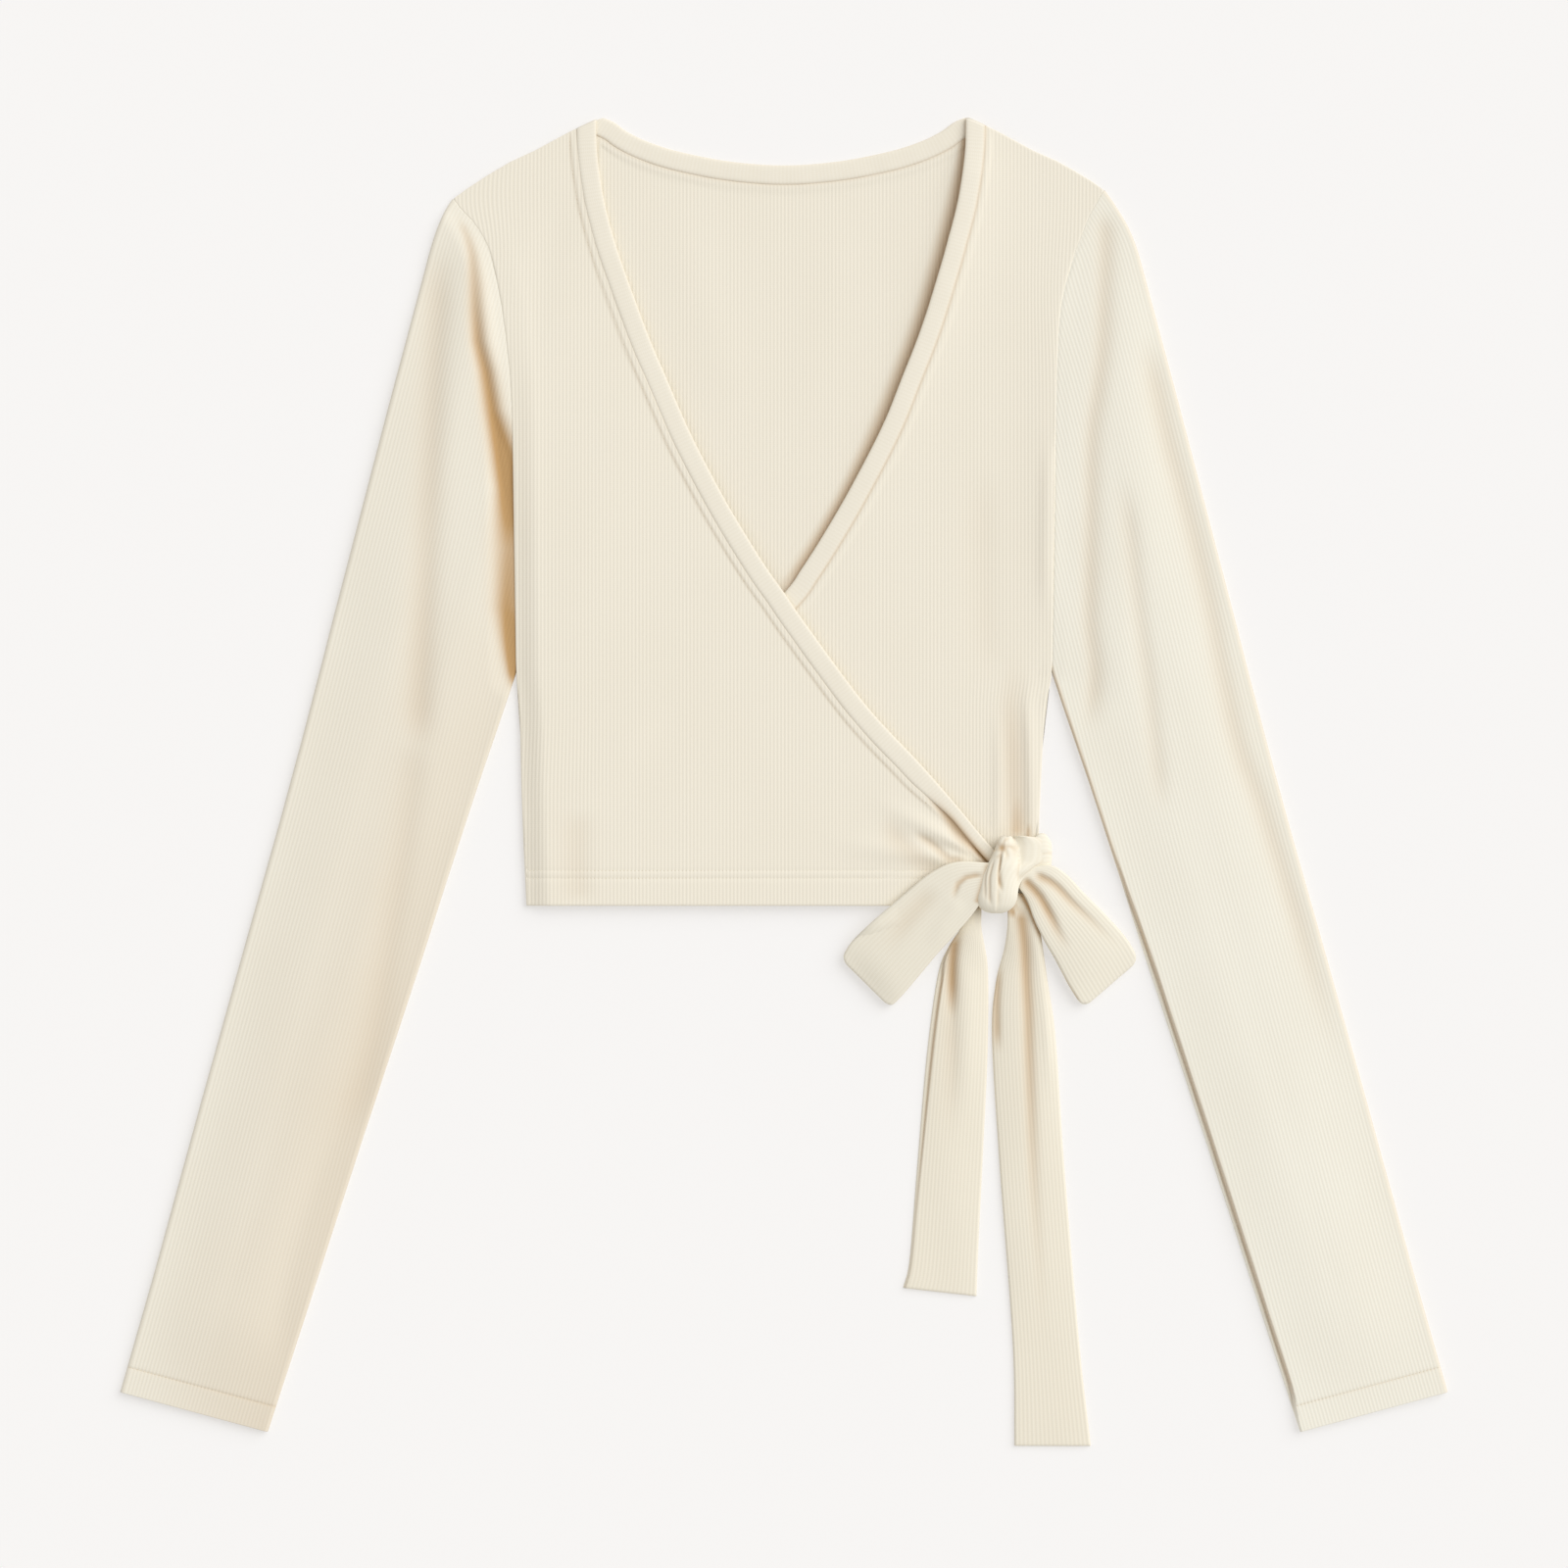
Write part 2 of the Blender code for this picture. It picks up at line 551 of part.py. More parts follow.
def gathers(x, y):
    """Height added to the over front by the gathers drawn into the knot."""
    dx, dy = x - GATHER_CENTRE.x, y - GATHER_CENTRE.y
    reach = np.hypot(dx, dy)
    total = np.zeros_like(reach)
    for row in GATHERS:
        angle = math.radians(row.angle_deg)
        along = dx * math.cos(angle) + dy * math.sin(angle)
        off = -dx * math.sin(angle) + dy * math.cos(angle)
        width = row.width * (0.6 + along / row.reach)
        fade = ease((along - 8.0) / 12.0) * ease((row.reach - along) / (0.7 * row.reach))
        total += row.height * fade * np.exp(-(off / np.maximum(width, 0.5)) ** 2)
    under_loop = ease((y - HEM_Y - 4.0) / 16.0)
    return total * under_loop


def strap_pull(x, y):
    """Soft ridges that the strap draws up in the under front beside the knot."""
    above = ease((y - PULL_START_Y) / 12.0) * ease((PULL_END_Y - y) / 90.0)
    return above * sum(row.height * np.exp(-((x - row.x) / row.width) ** 2) for row in PULLS)


# ------------------------------------------------------------------- panels

def rib_columns(low, high):
    """Column places for raised ribs, two to a rib, and the raise of each."""
    count = int(math.floor((high - low) / (0.5 * RIB_PITCH)))
    places = low + 0.5 * RIB_PITCH * np.arange(count + 1)
    raises = np.where(np.arange(count + 1) % 2 == 0, 0.0, RIB_RAISE)
    if high - places[-1] > 0.2:
        places = np.append(places, high)
        raises = np.append(raises, 0.0)
    return places, raises


def panel_grid(places, low, high, parts):
    """Plan points of a panel: columns along the ribs, rows up each column."""
    columns = []
    for x, y_low, y_high in zip(places, low, high):
        length = y_high - y_low
        start = y_low + min(HEM_DEPTH, 0.2 * length)
        rows = np.concatenate([[y_low], start + np.array(parts) * (y_high - start)])
        columns.append(np.column_stack([np.full(len(rows), x), rows]))
    return np.array(columns)


def with_height(plan, height):
    """Add a height to each plan point."""
    return np.dstack([plan, height])


def plain_columns(grid):
    """Fewest columns whose straight runs keep to a grid's outline and heights."""
    kept = [0]
    while kept[-1] < len(grid) - 1:
        end = kept[-1] + 1
        while end < len(grid) - 1 and keeps_to(grid[kept[-1]:end + 2]):
            end += 1
        kept.append(end)
    return np.array(kept)


def keeps_to(columns):
    """Whether the first and last of some columns can stand for all of them."""
    first, last = columns[0], columns[-1]
    part = ((columns[:, 0, 0] - first[0, 0]) / (last[0, 0] - first[0, 0]))[:, None]
    heights = first[:, 2] + part * (last[:, 2] - first[:, 2])
    if np.abs(columns[:, :, 2] - heights).max() > HEIGHT_STRAY:
        return False
    for row in (0, -1):
        run = last[row, :2] - first[row, :2]
        off = columns[:, row, :2] - first[row, :2]
        if np.abs(off[:, 0] * run[1] - off[:, 1] * run[0]).max() > OUTLINE_STRAY * np.hypot(*run):
            return False
    return True


def make_back():
    """Back: flat on the floor, ribbed inside the neck opening, plain beneath."""
    ribbed, raises = rib_columns(-BACK_RIBBED, BACK_RIBBED)
    edge = [row.half_width for row in SIDE_AND_ARMHOLE[2:-1]]
    plain = np.concatenate([BACK_PLAIN, edge, [SHOULDER_TIP]])
    places = np.concatenate([-plain[::-1], ribbed, plain])
    raises = np.concatenate([np.zeros(len(plain)), raises, np.zeros(len(plain))])
    low, high = body_low(places), back_high(places)
    opening = lookup(NECKLINE, "half_width", "y", np.abs(places)) - RIBBED_UNDER
    start = np.where(np.abs(places) <= BACK_RIBBED,
                     np.minimum(opening, high - RIBBED_LEAST), 0.5 * (low + high))
    # Ribs run from below the neck opening up to the seam; below them it is plain.
    upper = np.array([[(x, a, CLOTH), (x, 0.5 * (a + b), CLOTH + lift), (x, b, CLOTH + lift)]
                      for x, a, b, lift in zip(places, start, high, raises)])
    floor = np.array([[(x, a, 0.0), (x, b, 0.0)] for x, a, b in zip(places, low, high)])
    floor = floor[plain_columns(floor)]
    solid = Solid()
    top, under = solid.add_points(upper), solid.add_points(floor)
    hem = solid.add_points(floor[:, 0] + (0.0, 0.0, CLOTH))
    solid.add_grid(top)
    solid.add_grid(under, flip=True)
    solid.add_seam(hem, top[:, 0], by_x=True)
    solid.add_seam(hem, under[:, 0], flip=True)
    solid.add_seam(top[:, -1], under[:, -1])
    solid.add_seam(np.concatenate([hem[:1], top[0]]), under[0])
    solid.add_seam(np.concatenate([hem[-1:], top[-1]]), under[-1], flip=True)
    return solid.make("back_panel", INSIDE_CREAM)


def front_solid(places, raises, low, high, parts, base, relief):
    """Wall of a front between its base and its ribbed outer side."""
    plan = panel_grid(places, low, high, parts)
    x, y = plan[..., 0], plan[..., 1]
    under = with_height(plan, base(x, y) + relief(x, y))
    lift = np.full(plan.shape[:2], CLOTH) + raises[:, None]
    lift[:, 0] += HEM_EXTRA
    outer = with_height(plan, under[..., 2] + lift)
    return sheet_solid(outer, under[plain_columns(under)])


def make_under_front():
    """Front that lies inside the wrap, whole, to its hidden end."""
    hidden = np.append(TUCKED_LEFT_END, np.linspace(UNDER_SEAM[-1, 0], -6.0, HIDDEN_COLUMNS))
    ribbed, raises = rib_columns(0.0, SHOULDER_TIP)
    places = np.concatenate([hidden, ribbed])
    raises = np.concatenate([np.zeros(len(hidden)), raises])
    low = np.where(places < 0.0, HEM_Y, body_low(places))
    solid = front_solid(places, raises, low, under_high(places), UNDER_ROWS, under_base,
                        strap_pull)
    return solid.make("front_under", CREAM)


def make_over_front():
    """Front that lies on top and is gathered into the knot."""
    places, raises = rib_columns(-SHOULDER_TIP, OVER_TIP[-1].x)
    low, high = over_low(places), over_high(places)
    solid = front_solid(places, raises, low, high, OVER_ROWS, over_base, gathers)
    return solid.make("front_over", CREAM)


# ---------------------------------------------------------------- neckbands

def band_sections(path, normals):
    """Places along a band that need a section of it."""
    kept = [0]
    for k in range(1, len(path) - 1):
        turned = math.degrees(math.acos(min(1.0, float(normals[k] @ normals[kept[-1]]))))
        run = float(np.linalg.norm(path[k] - path[kept[-1]]))
        if run >= BAND_REACH or (turned >= BAND_TURN_DEG and run >= BAND_SHORT):
            kept.append(k)
    return kept + [len(path) - 1]


def band_solid(edge, inward, base):
    """Doubled band along a free edge, rounded on that edge."""
    normals = inward * left_normals(edge)
    kept = band_sections(edge, normals)
    path, normals = edge[kept], normals[kept]
    rings = []
    for point, normal in zip(path, normals):
        ring = []
        for row in BAND_SECTION:
            x, y = point + row.across * normal
            floor = float(base(np.array([[x]]), np.array([[y]]))[0, 0])
            ring.append((x, y, floor + row.height * BAND_THICK))
        rings.append(ring)
    return loft_solid(np.array(rings))


def make_neckbands():
    """Neckband in its three stretches: back, under front and over front."""
    band_solid(BACK_EDGE, -1.0, lambda x, y: np.zeros_like(x)).make("neckband_back", INSIDE_CREAM)
    band_solid(UNDER_EDGE, 1.0, under_base).make("neckband_under", CREAM)
    band_solid(OVER_EDGE, -1.0, over_base).make("neckband_over", CREAM)


# ------------------------------------------------------------------ sleeves

def sleeve_frame(side):
    """Across and along directions of a sleeve in plan, and its mirror sign."""
    lean = math.radians(SLEEVE_LEAN_DEG)
    sign = 1.0 if side == "right" else -1.0
    across = np.array([sign * math.cos(lean), math.sin(lean)])
    along = np.array([-sign * math.sin(lean), math.cos(lean)])
    return across, along


def armhole_in_sleeve_frame():
    """Armhole seam as rows of u and v, from underarm to shoulder tip."""
    across, along = sleeve_frame("right")
    rows = [row for row in SIDE_AND_ARMHOLE if row.y >= UNDERARM.y]
    points = np.array([(row.half_width + 1.6 * GAP, row.y) for row in rows])
    return points @ across, points @ along


def sleeve_u(part, v, inset):
    """Place across a sleeve; its folded edges round over outside parts 0 to 1."""
    inner = lookup(SLEEVE_EDGES, "v", "inner_u", v) + inset + FOLD_REACH
    outer = lookup(SLEEVE_EDGES, "v", "outer_u", v) - inset - FOLD_REACH
    return inner + part * (outer - inner)


def sleeve_tops(part, shift, inset):
    """Height v at which each column of a sleeve meets the armhole seam."""
    u_seam, v_seam = armhole_in_sleeve_frame()
    low, high = np.full(part.shape, v_seam[0]), np.full(part.shape, v_seam[-1])
    for _ in range(30):
        middle = 0.5 * (low + high)
        outside = sleeve_u(part, middle, inset) + shift > np.interp(middle, v_seam, u_seam)
        low, high = np.where(outside, middle, low), np.where(outside, high, middle)
    return low


def crease_depth(side, part, v):
    """Depth of the creases of a sleeve at a place across and up it."""
    total = np.zeros_like(part)
    for row in CREASES:
        if row.side != side:
            continue
        along = (v - row.v_low) / (row.v_high - row.v_low)
        middle = row.across_low + (row.across_high - row.across_low) * along
        fade = ease((along + 0.10) / 0.35) * ease((1.10 - along) / 0.35)
        total += row.depth * fade * np.exp(-((part - middle) / row.width) ** 2)
    return total


def sleeve_wall_top(side, part, v, world_y, off_seam):
    """Outside height of the upper wall of a sleeve."""
    crown = SLEEVE_EDGE + (SLEEVE_HEIGHT - SLEEVE_EDGE) * ease(np.minimum(part, 1.0 - part) / 0.25)
    cuffward = ease((v - CUFF_V) / 60.0)
    body = CUFF_HEIGHT + (crown - CUFF_HEIGHT) * cuffward
    at_seam = lookup(ARMHOLE_LIFT, "y", side, world_y) + WALL
    near = 1.0 - ease(off_seam / SLEEVE_VALLEY_REACH)
    height = body + (at_seam - body) * near
    return height - crease_depth(side, part, v) * (1.0 - near) * cuffward


def sleeve_rings(side, parts, raises, wall):
    """Rings of a sleeve from cuff to armhole; wall is zero on its outside.

    Each ring runs along the lower side outwards, round the outer fold, back
    along the upper side and round the inner fold.
    """
    turns = np.radians((-45.0, 0.0, 45.0) if wall == 0.0 else (0.0,))
    lower = np.linspace(0.0, 1.0, SLEEVE_FLOOR_POINTS)
    flat, folded = np.zeros(len(lower)), np.zeros(len(turns))
    part = np.concatenate([lower, folded + 1.0, parts[::-1], folded])
    shift = FOLD_REACH * np.concatenate([flat, np.cos(turns), 0.0 * parts, -np.cos(turns)])
    rise = np.concatenate([flat, 0.5 + 0.5 * np.sin(turns), 0.0 * parts + 1.0,
                           0.5 - 0.5 * np.sin(turns)])
    lift = np.concatenate([flat, folded, raises[::-1], folded])
    across, along = sleeve_frame(side)
    tops = sleeve_tops(part, shift, wall)
    hem_line = CUFF_V + CUFF_DEPTH
    levels = [np.full(len(part), CUFF_V)] + [hem_line + row * (tops - hem_line) for row in SLEEVE_ROWS]
    rings = []
    for v in levels:
        u = sleeve_u(part, v, wall) + shift
        plan = u[:, None] * across + v[:, None] * along
        upper = sleeve_wall_top(side, part, v, plan[:, 1], tops - v) - wall
        rings.append(np.column_stack([plan, wall + rise * (upper - wall) + lift]))
    return np.array(rings)


def make_sleeve(side):
    """Sleeve as a flattened tube, open at the armhole and at the cuff."""
    fine = np.linspace(0.0, 1.0, 2 * SLEEVE_RIBS + 1)
    raises = np.where(np.arange(len(fine)) % 2 == 0, -RIB_RAISE, 0.0)
    plain = np.linspace(0.0, 1.0, SLEEVE_PLAIN_POINTS)
    outer = sleeve_rings(side, fine, raises, 0.0)
    inner = sleeve_rings(side, plain, np.full(len(plain), -RIB_RAISE), CLOTH)
    # Corners of the rings: both ends of the lower side, both of the upper side.
    last = SLEEVE_FLOOR_POINTS - 1
    outer_corners = (0, last, last + 4, last + 3 + len(fine))
    inner_corners = (0, last, last + 2, last + 1 + len(plain))
    solid = tube_solid(outer, inner, outer_corners, inner_corners)
    return solid.make("sleeve_" + side, CREAM)


# --------------------------------------------------------------------- ties

def drape(x, y, level, start, length):
    """Underside of a tie: on the body, then down to the floor past its edge."""
    past_side = np.maximum(x - SIDE_AND_ARMHOLE[1].half_width, 0.0)
    past_hem = np.maximum(HEM_Y - y, 0.0)
    out = np.hypot(past_side, past_hem)
    return level * (1.0 - ease((out - start) / length))


def troughs(rows, across, along):
    """Depth of the soft troughs of a tie."""
    total = np.zeros_like(across)
    for row in rows:
        fade = ease((row.end - along) / max(row.end - row.start, 0.01))
        total += row.depth * fade * np.exp(-((across - row.across) / row.width) ** 2)
    return total


def tie_columns():
    """Places across a tie for its ribs and the raise of each."""
    places = np.linspace(0.0, 1.0, 2 * TIE_RIBS + 1)
    return places, np.where(np.arange(len(places)) % 2 == 0, 0.0, RIB_RAISE)


def loop_plan(rows, along, across):
    """Plan point of a loop by its place along and across."""
    stations = np.linspace(0.0, 1.0, len(rows))
    ends = [np.interp(along, stations, column_of(rows, name)) for name in LoopRow._fields]
    return ends[0] + across * (ends[2] - ends[0]), ends[1] + across * (ends[3] - ends[1])


def loop_side(rows, soft, level, across, raises, inset):
    """Columns of points of a loop: floor side out, round the end, top side back."""
    path = [(along, 0.0) for along in LOOP_FLOOR_ROWS]
    path += [(LOOP_END - inset / LOOP_LENGTH, 0.25), (LOOP_END - inset / LOOP_LENGTH, 0.75)]
    path += [(along, 1.0) for along in LOOP_TOP_ROWS[::-1]]
    along, rise = np.array(path).T
    columns = []
    for part, lifted in zip(across, raises):
        x, y = loop_plan(rows, along, part)
        floor = drape(x, y, level, LOOP_DROP_START, LOOP_DROP_LENGTH) + inset
        dip = troughs(soft, np.full(len(along), part), along)
        height = LOOP_HEIGHT - 2.0 * inset - dip
        columns.append(np.column_stack([x, y, floor + rise * height + lifted * (rise == 1.0)]))
    return np.array(columns)


def make_loop(name, rows, soft, level):
    """Bow loop: a tie doubled back on itself round its outer end."""
    across, raises = tie_columns()
    plain = np.linspace(0.0, 1.0, TIE_PLAIN_POINTS)
    outer = loop_side(rows, soft, level, across, raises, 0.0)
    inner = loop_side(rows, soft, level, plain, np.zeros(len(plain)), TIE_THICK)
    return sheet_solid(outer, inner).make(name, CREAM)


def tail_side(rows, soft, across, raises, top):
    """Columns of points of one side of a tail."""
    y = column_of(rows, "y")
    left, right = column_of(rows, "left_x"), column_of(rows, "right_x")
    along = (y[0] - y) / (y[0] - y[-1])
    columns = []
    for part, lifted in zip(across, raises):
        x = left + part * (right - left)
        floor = drape(x, y, TAIL_LEVEL, TAIL_DROP_START, TAIL_DROP_LENGTH)
        off_knot = ease((along - 0.03) / 0.12)
        arch = TAIL_ARCH * ease((0.85 - along) / 0.8) * math.sin(math.pi * part) ** 0.5
        dip = troughs(soft, np.full(len(y), part), along)
        stands = np.maximum((arch - dip) * off_knot, 0.0)
        z = floor + stands + (TIE_THICK + lifted if top else 0.0)
        columns.append(np.column_stack([x, y, z]))
    return np.array(columns)


def make_tail(name, rows, soft):
    """Hanging end of a tie, a doubled strip with a soft fold along it."""
    across, raises = tie_columns()
    plain = np.linspace(0.0, 1.0, TIE_PLAIN_POINTS)
    outer = tail_side(rows, soft, across, raises, True)
    inner = tail_side(rows, soft, plain, np.zeros(len(plain)), False)
    return sheet_solid(outer, inner).make(name, CREAM)


def make_knot():
    """Knot: one rounded solid with its wraps as pleats along it."""
    rings = []
    for row in KNOT:
        ring = []
        for k in range(KNOT_SIDES):
            turn = 2.0 * math.pi * k / KNOT_SIDES
            pleat = KNOT_PLEAT_DEPTH * math.cos(KNOT_PLEATS * turn)
            size = min(1.0, row.half_width / 6.0)
            x = row.centre_x + (row.half_width + pleat * size) * math.cos(turn)
            z = KNOT_MIDDLE + (row.half_height + pleat * size) * math.sin(turn)
            ring.append((x, row.y, max(z, KNOT_FLOOR)))
        rings.append(ring)
    return loft_solid(np.array(rings)).make("knot", CREAM)


def make_strap():
    """Waist strap from the side seam to the knot."""
    rings = []
    path = np.array([(row.x, row.z) for row in STRAP])
    tangent = np.gradient(path, axis=0)
    tangent /= np.linalg.norm(tangent, axis=1)[:, None]
    outward = np.column_stack([-tangent[:, 1], tangent[:, 0]])
    for row, normal in zip(STRAP, outward):
        x = [row.x + point.out * TIE_THICK * normal[0] for point in STRAP_SECTION]
        y = [row.upper_y + point.down * (row.lower_y - row.upper_y) for point in STRAP_SECTION]
        z = [row.z + point.out * TIE_THICK * normal[1] for point in STRAP_SECTION]
        rings.append(np.column_stack([x, y, z]))
    return loft_solid(np.array(rings)).make("waist_strap", CREAM)


def clear_scene():
    """Remove the objects that the scene starts with."""
    for item in list(bpy.data.objects):
        bpy.data.objects.remove(item, do_unlink=True)


def build():
    """Make every piece of the garment."""
    clear_scene()
    make_back()
    make_under_front()
    make_over_front()
    make_neckbands()
    make_sleeve("left")
    make_sleeve("right")
    make_strap()
    make_knot()
    make_loop("bow_loop_left", LOOP_LEFT, LOOP_LEFT_TROUGHS, LOOP_LEFT_LEVEL)
    make_loop("bow_loop_right", LOOP_RIGHT, LOOP_RIGHT_TROUGHS, LOOP_RIGHT_LEVEL)
    make_tail("tie_tail_left", TAIL_LEFT, TAIL_LEFT_TROUGHS)
    make_tail("tie_tail_right", TAIL_RIGHT, TAIL_RIGHT_TROUGHS)


build()
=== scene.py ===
"""Wrap top in cream rib jersey, laid flat with its bow tied at the waist.

The neck points to +Y, the floor is the XY plane and +Z is up.  Sizes are in
millimetres and become metres when a mesh is made.  Left and right are as seen
from above.  Each piece of cloth is a thin closed shell that lies where its
solid lies, and carries its ribs, hems and folds in its mesh.
"""

import json
import logging
import math
from collections.abc import Callable, Sequence
from dataclasses import dataclass
from enum import Enum
from typing import Any, NamedTuple

import bpy
import numpy as np
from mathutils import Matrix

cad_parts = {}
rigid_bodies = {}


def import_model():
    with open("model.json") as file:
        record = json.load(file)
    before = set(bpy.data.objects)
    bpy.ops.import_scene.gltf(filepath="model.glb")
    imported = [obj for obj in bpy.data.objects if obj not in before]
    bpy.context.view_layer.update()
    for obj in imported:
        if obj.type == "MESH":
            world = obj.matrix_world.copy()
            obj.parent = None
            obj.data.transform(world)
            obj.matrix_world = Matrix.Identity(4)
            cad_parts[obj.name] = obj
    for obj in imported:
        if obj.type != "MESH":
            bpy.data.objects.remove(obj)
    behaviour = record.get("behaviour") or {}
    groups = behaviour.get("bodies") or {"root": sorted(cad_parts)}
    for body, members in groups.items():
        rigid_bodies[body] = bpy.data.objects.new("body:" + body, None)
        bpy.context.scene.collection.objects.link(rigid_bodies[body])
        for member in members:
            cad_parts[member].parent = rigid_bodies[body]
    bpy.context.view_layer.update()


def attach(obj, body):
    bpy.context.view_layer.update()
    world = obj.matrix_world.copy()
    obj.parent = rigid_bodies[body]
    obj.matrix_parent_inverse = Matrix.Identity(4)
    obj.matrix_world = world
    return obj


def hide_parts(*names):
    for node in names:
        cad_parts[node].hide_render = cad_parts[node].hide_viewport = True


Array = np.ndarray
Pair = tuple[Array, Array]
Height = Callable[[Array, Array], Array]
Item = bpy.types.Object
Tree = bpy.types.NodeTree
Socket = bpy.types.NodeSocket

MM = 0.001
ORIGIN_Y = 1.0  # the origin lies this far up the drawing that the tables use

CLOTH = 1.1  # wall of the jersey between two ribs
RIB_PITCH = 2.0  # from one rib to the next
RIB_RAISE = 0.16  # a rib above the cloth beside it
RIB_STEP = 0.4  # columns of points lie this close where ribs show
WALL = 1.45  # jersey from its underside to the tops of its ribs
GAP = 0.3  # between pieces that are sewn together
BAND_WIDTH = 11.0
TIE_THICK = 2.2  # ties, folded double
TIE_WIDTH = 36.0
TIE_RIBS = 0.65  # doubled cloth pulls its ribs flatter
UNDER_LEVEL = WALL + GAP  # underside of the under front
OVER_LEVEL = 5.0  # underside of the over front where the fronts overlap
HEM_Y = -67.0
HEM_EXTRA = 0.4  # a turned hem stands this much over the cloth above it
HEM_SHOWN = 0.15  # and this much of it shows on the pressed cloth
HEM_SEWN = (15.2, 19.4)  # rows of stitches over the body's hem edge
CUFF_SEWN = 14.5
NECK_SEWN = 3.9  # row of stitches beside the over front's neck seam
SHOULDER_TIP = 175.8
RIM = 1.0  # free edges round over within this far
TUCK = 0.5  # a panel runs this far under the piece sewn to it
STITCH_DIP = 0.22  # how far a row of stitches draws the cloth in
STITCH_LENGTH = 1.35
THREAD_WIDTH = 0.42
FOLD_REACH = 2.6  # widths beyond which a fold adds nothing
SHOULDER_SLIP = (5.8, 4.7)  # how far left and down the left shoulder's tip lies


class EdgeRow(NamedTuple):
    """Half width of the garment at a height."""

    half_width: float
    y: float


class PointRow(NamedTuple):
    """Point of the drawing."""

    x: float
    y: float


class SeamRow(NamedTuple):
    """Height of a front's underside at its two armholes."""

    y: float
    left: float
    right: float


class LiftRow(NamedTuple):
    """How far an edge stands off what lies below it."""

    y: float
    lift: float


class GatherRow(NamedTuple):
    """A gather drawn into the knot: its direction, reach, height and width."""

    angle_deg: float
    reach: float
    height: float
    width: float


class ShiftRow(NamedTuple):
    """How far each neck edge lies to the right of its mirrored place."""

    y: float
    over: float
    under: float


class CreaseRow(NamedTuple):
    """Middle, widths and depth of the crease between a sleeve and the body."""

    y: float
    x: float
    far: float  # width towards the sleeve
    near: float  # width towards the body
    depth: float


class SleeveRow(NamedTuple):
    """Folded edges of a sleeve in its own leaning frame."""

    v: float
    inner_u: float
    outer_u: float


class LoopRow(NamedTuple):
    """Both long edges of a bow loop."""

    upper_x: float
    upper_y: float
    lower_x: float
    lower_y: float


class TailRow(NamedTuple):
    """Both edges of a hanging tie end."""

    y: float
    left_x: float
    right_x: float


class KnotRow(NamedTuple):
    """Section of the knot."""

    y: float
    centre_x: float
    half_width: float
    half_height: float
    reach: float  # how much further it runs out into the strap


class StrapRow(NamedTuple):
    """Section of the waist strap."""

    x: float
    z: float
    upper_y: float
    lower_y: float


class PullRow(NamedTuple):
    """Place on an armhole seam, and how far it is drawn to the left."""

    x: float
    y: float
    shift: float


class Fold(NamedTuple):
    """A soft ridge along a drawn line, or a trough where its rise is negative."""

    line: tuple[tuple[float, float], ...]
    rise: float
    left: float  # width on the left of the line's direction
    right: float
    start: float = 14.0  # length over which it begins
    end: float = 14.0
    tone: float = 0.0  # painted shade at its bottom


Folds = tuple[Fold, ...]


def rows(kind: Callable[..., Any], *values: Sequence[float]) -> tuple[Any, ...]:
    """Table with a row of one kind for each set of values."""
    return tuple(kind(*value) for value in values)


SIDE_AND_ARMHOLE = rows(
    EdgeRow, (140.5, -67), (142.2, -30), (143.4, 0), (144.2, 16), (145.6, 40), (147.5, 60), (148.5, 130),
    (149.5, 200), (150.5, 227), (152.3, 248), (154.5, 264), (157.5, 278), (161, 292), (164.5, 302),
    (168.5, 313), (176, 326.5))
UNDERARM = SIDE_AND_ARMHOLE[5]
HEM_END = SIDE_AND_ARMHOLE[0].half_width
SHOULDER = rows(
    EdgeRow, (102, 366.5), (118, 359), (137.5, 348.5), (150, 343), (160, 337.5), (169, 332), (176, 327))
BACK_NECK = rows(
    EdgeRow, (0, 340.7), (30, 342.9), (58, 348.3), (75, 353.7), (86, 359), (93, 364), (98, 366.3),
    (101, 366.5))
BACK_NECK_SHOULDER = EdgeRow(112.5, 361.5)
NECKLINE = rows(
    EdgeRow, (102.4, 366), (101.8, 350), (99.8, 334), (96.7, 317), (90.7, 295), (83.3, 273),
    (74.2, 248.4), (64.9, 226.3), (51.4, 194.4), (34.8, 162), (22.6, 140.4), (9.4, 118.8), (0, 105.3))
OVER_EDGE_END = rows(
    PointRow, (13, 86.4), (45.1, 43.2), (75.1, 10.8), (94.5, -11.4), (107.3, -26.4), (113.4, -33),
    (117.6, -37.4), (121.4, -41.4))
UNDER_EDGE_END = rows(
    PointRow, (-30, 74.5), (-62, 43), (-105, 0.5), (-130, -24.5))
OVER_TIP = rows(
    PointRow, (60, HEM_Y), (80, -64.5), (93, -59), (103, -53), (109.4, -48.5), (116, -45))
ARMHOLE_LIFT = rows(
    SeamRow, (60, 1.75, 1.75), (90, 2.3, 2.5), (150, 2.9, 3.3), (230, 2.7, 2.9), (290, 2, 2.1),
    (327, 1.75, 1.75))
NECK_LIFT = rows(
    LiftRow, (105, 0), (140, 1), (200, 2.6), (270, 3.8), (335, 3.4), (366, 0.9))
NECK_SHIFT = rows(
    ShiftRow, (366, -1, -2.4), (340, -1.4, -2.1), (300, -1.4, -2), (280, -1.1, -1.2), (260, -1, -0.1),
    (235, -1.2, 0.8), (205, -0.8, 1.5), (160, -0.8, 1.2), (130, -0.4, 0.8), (106, 0, 0))
